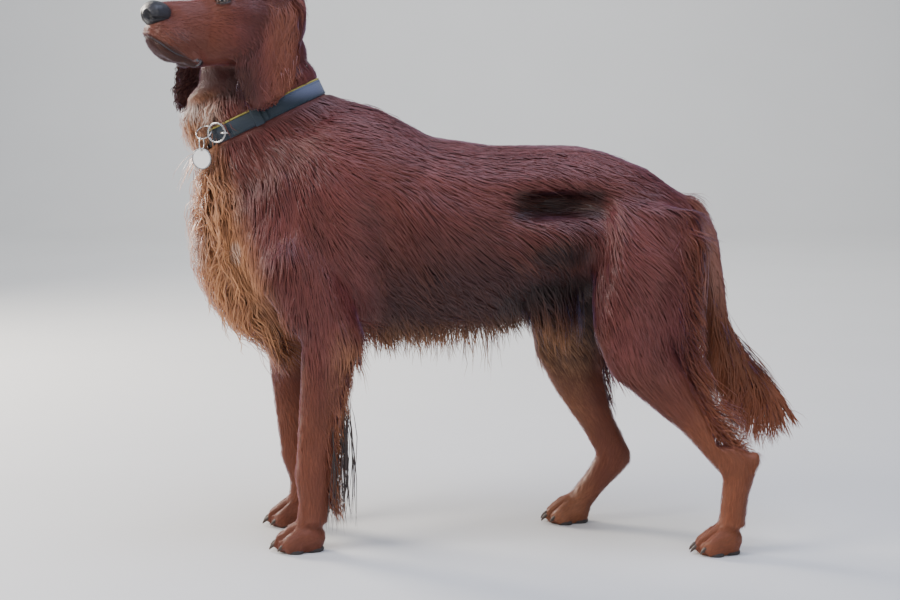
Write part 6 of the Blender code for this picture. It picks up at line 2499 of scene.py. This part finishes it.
@dataclass(frozen=True)
class Collar:
    """The strap with its piping, stitches, keeper, loop, rings and tag."""

    steps: int = 180
    loop_turn: float = math.radians(55)
    facing: Triple = (-0.35, -0.93, 0.0)
    tail: Tuple[float, float] = (math.radians(62), math.radians(97))  # where the free end lies on the strap
    keeper: float = math.radians(88)
    seams: Tuple[float, float] = (-0.0098, 0.0092)  # heights of the two rows of stitches on the strap
    stitches_round: int = 128

    def build(self) -> None:
        """Makes the collar's pieces."""
        strap = self.band("strap", 0, 2 * math.pi, 0.0, COLLAR_PATH.thick, COLLAR_PATH.deep, self.steps)
        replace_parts(finished(strap, self.webbing()), "collar")
        end = self.band("strap_end", *self.tail, 0.0032, 0.0022, COLLAR_PATH.deep - 0.003, 30)
        finished(end, self.webbing())
        about = self.keeper - 0.07, self.keeper + 0.07
        keeper = self.band("keeper", *about, 0.0050, 0.0018, COLLAR_PATH.deep + 0.003, 8)
        finished(keeper, self.webbing())
        self.piping()
        self.stitches()
        self.rings()
        self.tag()

    def band(
        self, name: str, start: float, end: float, out: float, thick: float, deep: float, steps: int
    ) -> bpy.types.Object:
        """A flat strap that follows the oval.

        Args:
            name: the piece's name.
            start: its first angle from the throat.
            end: its last angle; a whole turn closes it.
            out: how far outside the oval its middle lies.
            thick: its thickness.
            deep: its height.
            steps: its sections.

        Returns:
            The strap, with its own lengthwise and upward coordinates stored as `weave`.
        """
        closed = end - start >= 2 * math.pi
        round_off = min(thick, deep) * 0.42
        half, edge = thick / 2, deep / 2
        corners = [
            (-half, -edge + round_off), (-half, edge - round_off),
            (-half + round_off, edge), (half - round_off, edge),
            (half, edge - round_off), (half, -edge + round_off),
            (half - round_off, -edge), (-half + round_off, -edge),
        ]
        count = steps if closed else steps + 1
        turns = [start + (end - start) * k / steps for k in range(count)]
        bm = bmesh.new()
        layers = drawn(bm, [[COLLAR_PATH.point(turn, out + o, h) for o, h in corners] for turn in turns])
        ended(bm, layers, closed)
        bm.verts.index_update()
        weave = np.zeros((len(bm.verts), 3))
        for turn, layer in zip(turns, layers):
            for vertex, (o, h) in zip(layer, corners):
                weave[vertex.index] = (turn * STRAP_RADIUS, h, o)
        strap = from_bmesh(name, bm)
        strap.data.attributes.new("weave", "FLOAT_VECTOR", "POINT").data.foreach_set("vector", weave.ravel())
        return strap

    @staticmethod
    def webbing() -> bpy.types.Material:
        """Close teal webbing with worn, paler high threads, and a painted lavender reflection along its top.
        """
        shader = Shader("collar_webbing")
        weave = shader.attribute("weave", "Vector")
        along, high, _ = shader.axes(weave)
        rib, cross = (
            shader.node("ShaderNodeMath", {"operation": "SINE"}, {0: along * 3600.0 + high * slant})
            for slant in (1500.0, -1500.0)
        )
        cloth = (rib * cross * 0.5 + 0.5).unit()
        place = shader.place()
        wear = shader.noise(place, 55.0, 4.0)
        blotch = shader.noise(place, 14.0, 2.0)
        colour = shader.mix(cloth, (0.0015, 0.0080, 0.0130, 1.0), (0.006, 0.026, 0.036, 1.0))
        colour = shader.mix(blotch.step(0.45, 0.7) * 0.5, colour, (0.005, 0.013, 0.036, 1.0))
        colour = shader.mix(wear.step(0.60, 0.85) * 0.35, colour, (0.05, 0.06, 0.075, 1.0))
        _, _, height = shader.axes(place)
        # painted reflection: the strap's upper part near the nape turns lavender, as if reflecting a sky
        colour = shader.mix(height.step(0.690, 0.715) * 0.55, colour, (0.17, 0.19, 0.30, 1.0))
        shader.set(
            Base_Color=colour,
            Roughness=0.42 + wear * 0.28,
            Sheen_Weight=0.10,
            Normal=shader.bump(cloth, 0.7, 0.0005),
        )
        return shader.material

    def piping(self) -> None:
        """An olive-yellow cord sewn along the strap's upper edge."""
        bm = bmesh.new()
        turns = [2 * math.pi * k / self.steps for k in range(self.steps)]
        path = [COLLAR_PATH.point(turn, 0.0006, COLLAR_PATH.deep / 2 + 0.0003) for turn in turns]
        swept(bm, path, [0.0016] * self.steps, 8, closed=True)
        shader = Shader("piping_cord")
        twist = shader.noise(shader.place(), 420.0, 3.0)
        shader.set(
            Base_Color=shader.mix(twist, (0.16, 0.13, 0.02, 1.0), (0.44, 0.38, 0.09, 1.0)),
            Roughness=0.62,
            Normal=shader.bump(twist, 0.6, 0.0004),
        )
        finished(from_bmesh("piping", bm), shader.material)

    def stitches(self) -> None:
        """Two rows of short raised stitches round the strap."""
        bm = bmesh.new()
        for high in self.seams:
            for k in range(self.stitches_round):
                turn = 2 * math.pi * k / self.stitches_round
                here, ahead = (COLLAR_PATH.point(turn + far, 0.0021, high) for far in (0.0, 0.012))
                turned = (ahead - here).normalized().to_track_quat("X", "Z").to_matrix().to_4x4()
                place = Matrix.Translation(here) @ turned @ Matrix.Diagonal((0.0014, 0.00045, 0.00045, 1))
                bmesh.ops.create_icosphere(bm, subdivisions=1, radius=1, matrix=place)
        shader = Shader("stitch_thread")
        fibre = shader.noise(shader.place(), 900.0, 2.0)
        colour = shader.mix(fibre, (0.012, 0.035, 0.045, 1.0), (0.035, 0.080, 0.095, 1.0))
        shader.set(Base_Color=colour, Roughness=0.6)
        finished(from_bmesh("stitches", bm), shader.material)

    def rings(self) -> None:
        """The loop, the lead ring, the split ring and the link."""
        steel = self.steel()
        facing = Vector(self.facing).normalized()
        up = Vector((0, 0, 1))
        ahead = -up.cross(facing).normalized()
        second = (facing * 0.75 + up * 0.66).normalized()
        loop_at = COLLAR_PATH.point(self.loop_turn, 0.0062, -0.001)
        self.ring("collar_loop", loop_at, up, 0.0062, 0.0017, 1.0, steel)
        for node, axis, radius, wire, stretch in (
            ("collar_ring", facing, 0.0145, 0.0017, 1.0), ("tag_ring", second, 0.0125, 0.0012, 1.0),
            ("tag_link", ahead, 0.0075, 0.0010, 1.35),
        ):
            piece = self.ring(node + "_wire", node_middle(node), axis, radius, wire, stretch, steel)
            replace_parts(piece, node)

    @staticmethod
    def ring(
        name: str, middle: Vector, axis: Vector, radius: float, wire: float, stretch: float,
        material: bpy.types.Material,
    ) -> bpy.types.Object:
        """A round wire bent to a ring.

        Args:
            name: the piece's name.
            middle: its centre.
            axis: what it turns about.
            radius: to the middle of the wire.
            wire: the wire's radius.
            stretch: how much longer it is upward.
            material: its finish.

        Returns:
            The ring.
        """
        level = Vector((0, 0, 1)).cross(axis)
        level = level.normalized() if level.length > 0.1 else Vector((1, 0, 0))
        upward = axis.cross(level).normalized()
        path = []
        for k in range(RING_STEPS):
            a = 2 * math.pi * k / RING_STEPS
            path.append(middle + level * math.cos(a) * radius + upward * math.sin(a) * radius * stretch)
        bm = bmesh.new()
        swept(bm, path, [wire] * RING_STEPS, 12, closed=True)
        return finished(from_bmesh(name, bm), material)

    @staticmethod
    def steel() -> bpy.types.Material:
        """Polished steel with fine rubbing marks."""
        shader = Shader("ring_steel")
        rub = shader.noise(shader.place(), 700.0, 4.0)
        shader.set(
            Base_Color=shader.mix(rub, (0.50, 0.49, 0.47, 1.0), (0.72, 0.71, 0.69, 1.0)),
            Metallic=1.0,
            Roughness=0.14 + rub * 0.22,
            Normal=shader.bump(rub, 0.12, 0.0002),
        )
        return shader.material

    def tag(self) -> None:
        """The round white enamel tag, whose solid is kept, with a softened edge."""
        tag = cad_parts["tag"]
        edge = tag.modifiers.new("weld", "WELD")
        edge.merge_threshold = 0.00001
        soft = tag.modifiers.new("soft", "BEVEL")
        soft.width, soft.segments, soft.limit_method, soft.angle_limit = 0.0005, 3, "ANGLE", math.radians(50)
        shader = Shader("tag_enamel")
        place = shader.place()
        middle = node_middle("tag")
        rim = shader.vector("DISTANCE", place, middle[:], "Value").step(0.0138, 0.0152)
        chips = shader.noise(place, 240.0, 4.0).step(0.68, 0.74)
        enamel = shader.mix(shader.noise(place, 40.0, 3.0), (0.80, 0.80, 0.78, 1.0), (0.90, 0.90, 0.88, 1.0))
        enamel = shader.mix(chips * 0.35, enamel, (0.55, 0.53, 0.50, 1.0))
        shader.set(
            Base_Color=shader.mix(rim, enamel, (0.60, 0.60, 0.60, 1.0)),
            Metallic=rim * 0.9,
            Roughness=0.22 + chips * 0.25,
            Normal=shader.bump(rim, 0.5, 0.0004),
        )
        tag.data.materials.clear()
        tag.data.materials.append(shader.material)


# --- the room ---------------------------------------------------------------------------------------
@dataclass(frozen=True)
class Studio:
    """A pale floor, soft light and the camera."""

    distance: float = 3.0
    height: float = 0.78
    lens: float = 76.92
    pitch: float = math.radians(7.5537)
    room: float = 6.5
    wall: float = 3.5
    bend: float = 1.6

    def build(self) -> None:
        """Makes the room."""
        self.floor()
        self.world()
        self.light("sky", (0.3, -0.6, 2.9), (0, 0, 0.4), 2.4, 88.0, (0.66, 0.74, 1.0))
        self.light("key", (-2.7, -1.3, 2.2), (-0.2, 0, 0.45), 1.4, 95.0, (1.0, 0.95, 0.88))
        self.light("rim", (-2.2, 1.8, 1.5), (-0.3, 0, 0.5), 1.0, 120.0, (1.0, 0.91, 0.80))
        self.light("fill", (1.4, -3.0, 1.4), (0.0, 0, 0.4), 2.0, 26.0, (1.0, 0.97, 0.95))
        self.light("wall", (0.0, 3.4, 3.6), (0, 5.6, 0.6), 2.5, 150.0, (1.0, 1.0, 1.0))
        self.camera()

    def floor(self) -> None:
        """The pale floor, which curves up into a low wall far behind."""
        bm = bmesh.new()
        bmesh.ops.create_grid(bm, x_segments=1, y_segments=1, size=self.room)
        back = [edge for edge in bm.edges if all(v.co.y > 0 for v in edge.verts)]
        grown = bmesh.ops.extrude_edge_only(bm, edges=back)["geom"]
        for vertex in (item for item in grown if isinstance(item, bmesh.types.BMVert)):
            vertex.co.z += self.wall
        bmesh.ops.bevel(
            bm, geom=back, offset=self.bend, offset_type="OFFSET", segments=16, profile=0.5,
            affect="EDGES", material=-1,
        )
        floor = from_bmesh("floor", bm)
        shader = Shader("pale_floor")
        grain = shader.noise(shader.place(), 3.0, 3.0)
        shader.set(
            Base_Color=shader.mix(grain, (0.62, 0.62, 0.61, 1.0), (0.66, 0.66, 0.65, 1.0)),
            Roughness=0.75,
        )
        floor.data.materials.append(shader.material)

    @staticmethod
    def world() -> None:
        """An even pale surround."""
        world = bpy.data.worlds.new("surround")
        world.use_nodes = True
        world.node_tree.nodes["Background"].inputs["Color"].default_value = (0.84, 0.89, 1.0, 1.0)
        world.node_tree.nodes["Background"].inputs["Strength"].default_value = 0.36
        bpy.context.scene.world = world

    @staticmethod
    def light(name: str, at: Triple, towards: Triple, size: float, power: float, colour: Triple) -> None:
        """A square soft light.

        Args:
            name: its name.
            at: where it hangs.
            towards: what it points at.
            size: its edge.
            power: in watts.
            colour: its colour.
        """
        data = bpy.data.lights.new(name, "AREA")
        data.size, data.energy, data.color = size, power, colour
        lamp = bpy.data.objects.new(name, data)
        lamp.location = at
        lamp.rotation_euler = (Vector(towards) - Vector(at)).to_track_quat("-Z", "Y").to_euler()
        bpy.context.scene.collection.objects.link(lamp)

    def camera(self) -> None:
        """The camera, level with the neck and a little above the floor's middle."""
        data = bpy.data.cameras.new("camera")
        data.lens, data.sensor_width = self.lens, 36.0
        camera = bpy.data.objects.new("camera", data)
        camera.location = ANATOMY.in_body(0, -self.distance, self.height)
        camera.rotation_euler = (math.pi / 2 - self.pitch, 0, 0)
        bpy.context.scene.collection.objects.link(camera)
        bpy.context.scene.camera = camera


def main() -> None:
    """Builds the animal piece by piece."""
    logging.basicConfig(level=logging.INFO, format="%(name)s %(message)s")
    finish = CoatFinish()
    hide = Hide()
    hide.build()
    skin = finish.skin()
    hide.dress(skin)
    Coat(hide, finish).build()
    Nose().build()
    EyeSet().build(hide, skin)
    Mouth().build(hide)
    Feet().build()
    Collar().build()
    Studio().build()


if __name__ == "__main__":
    main()
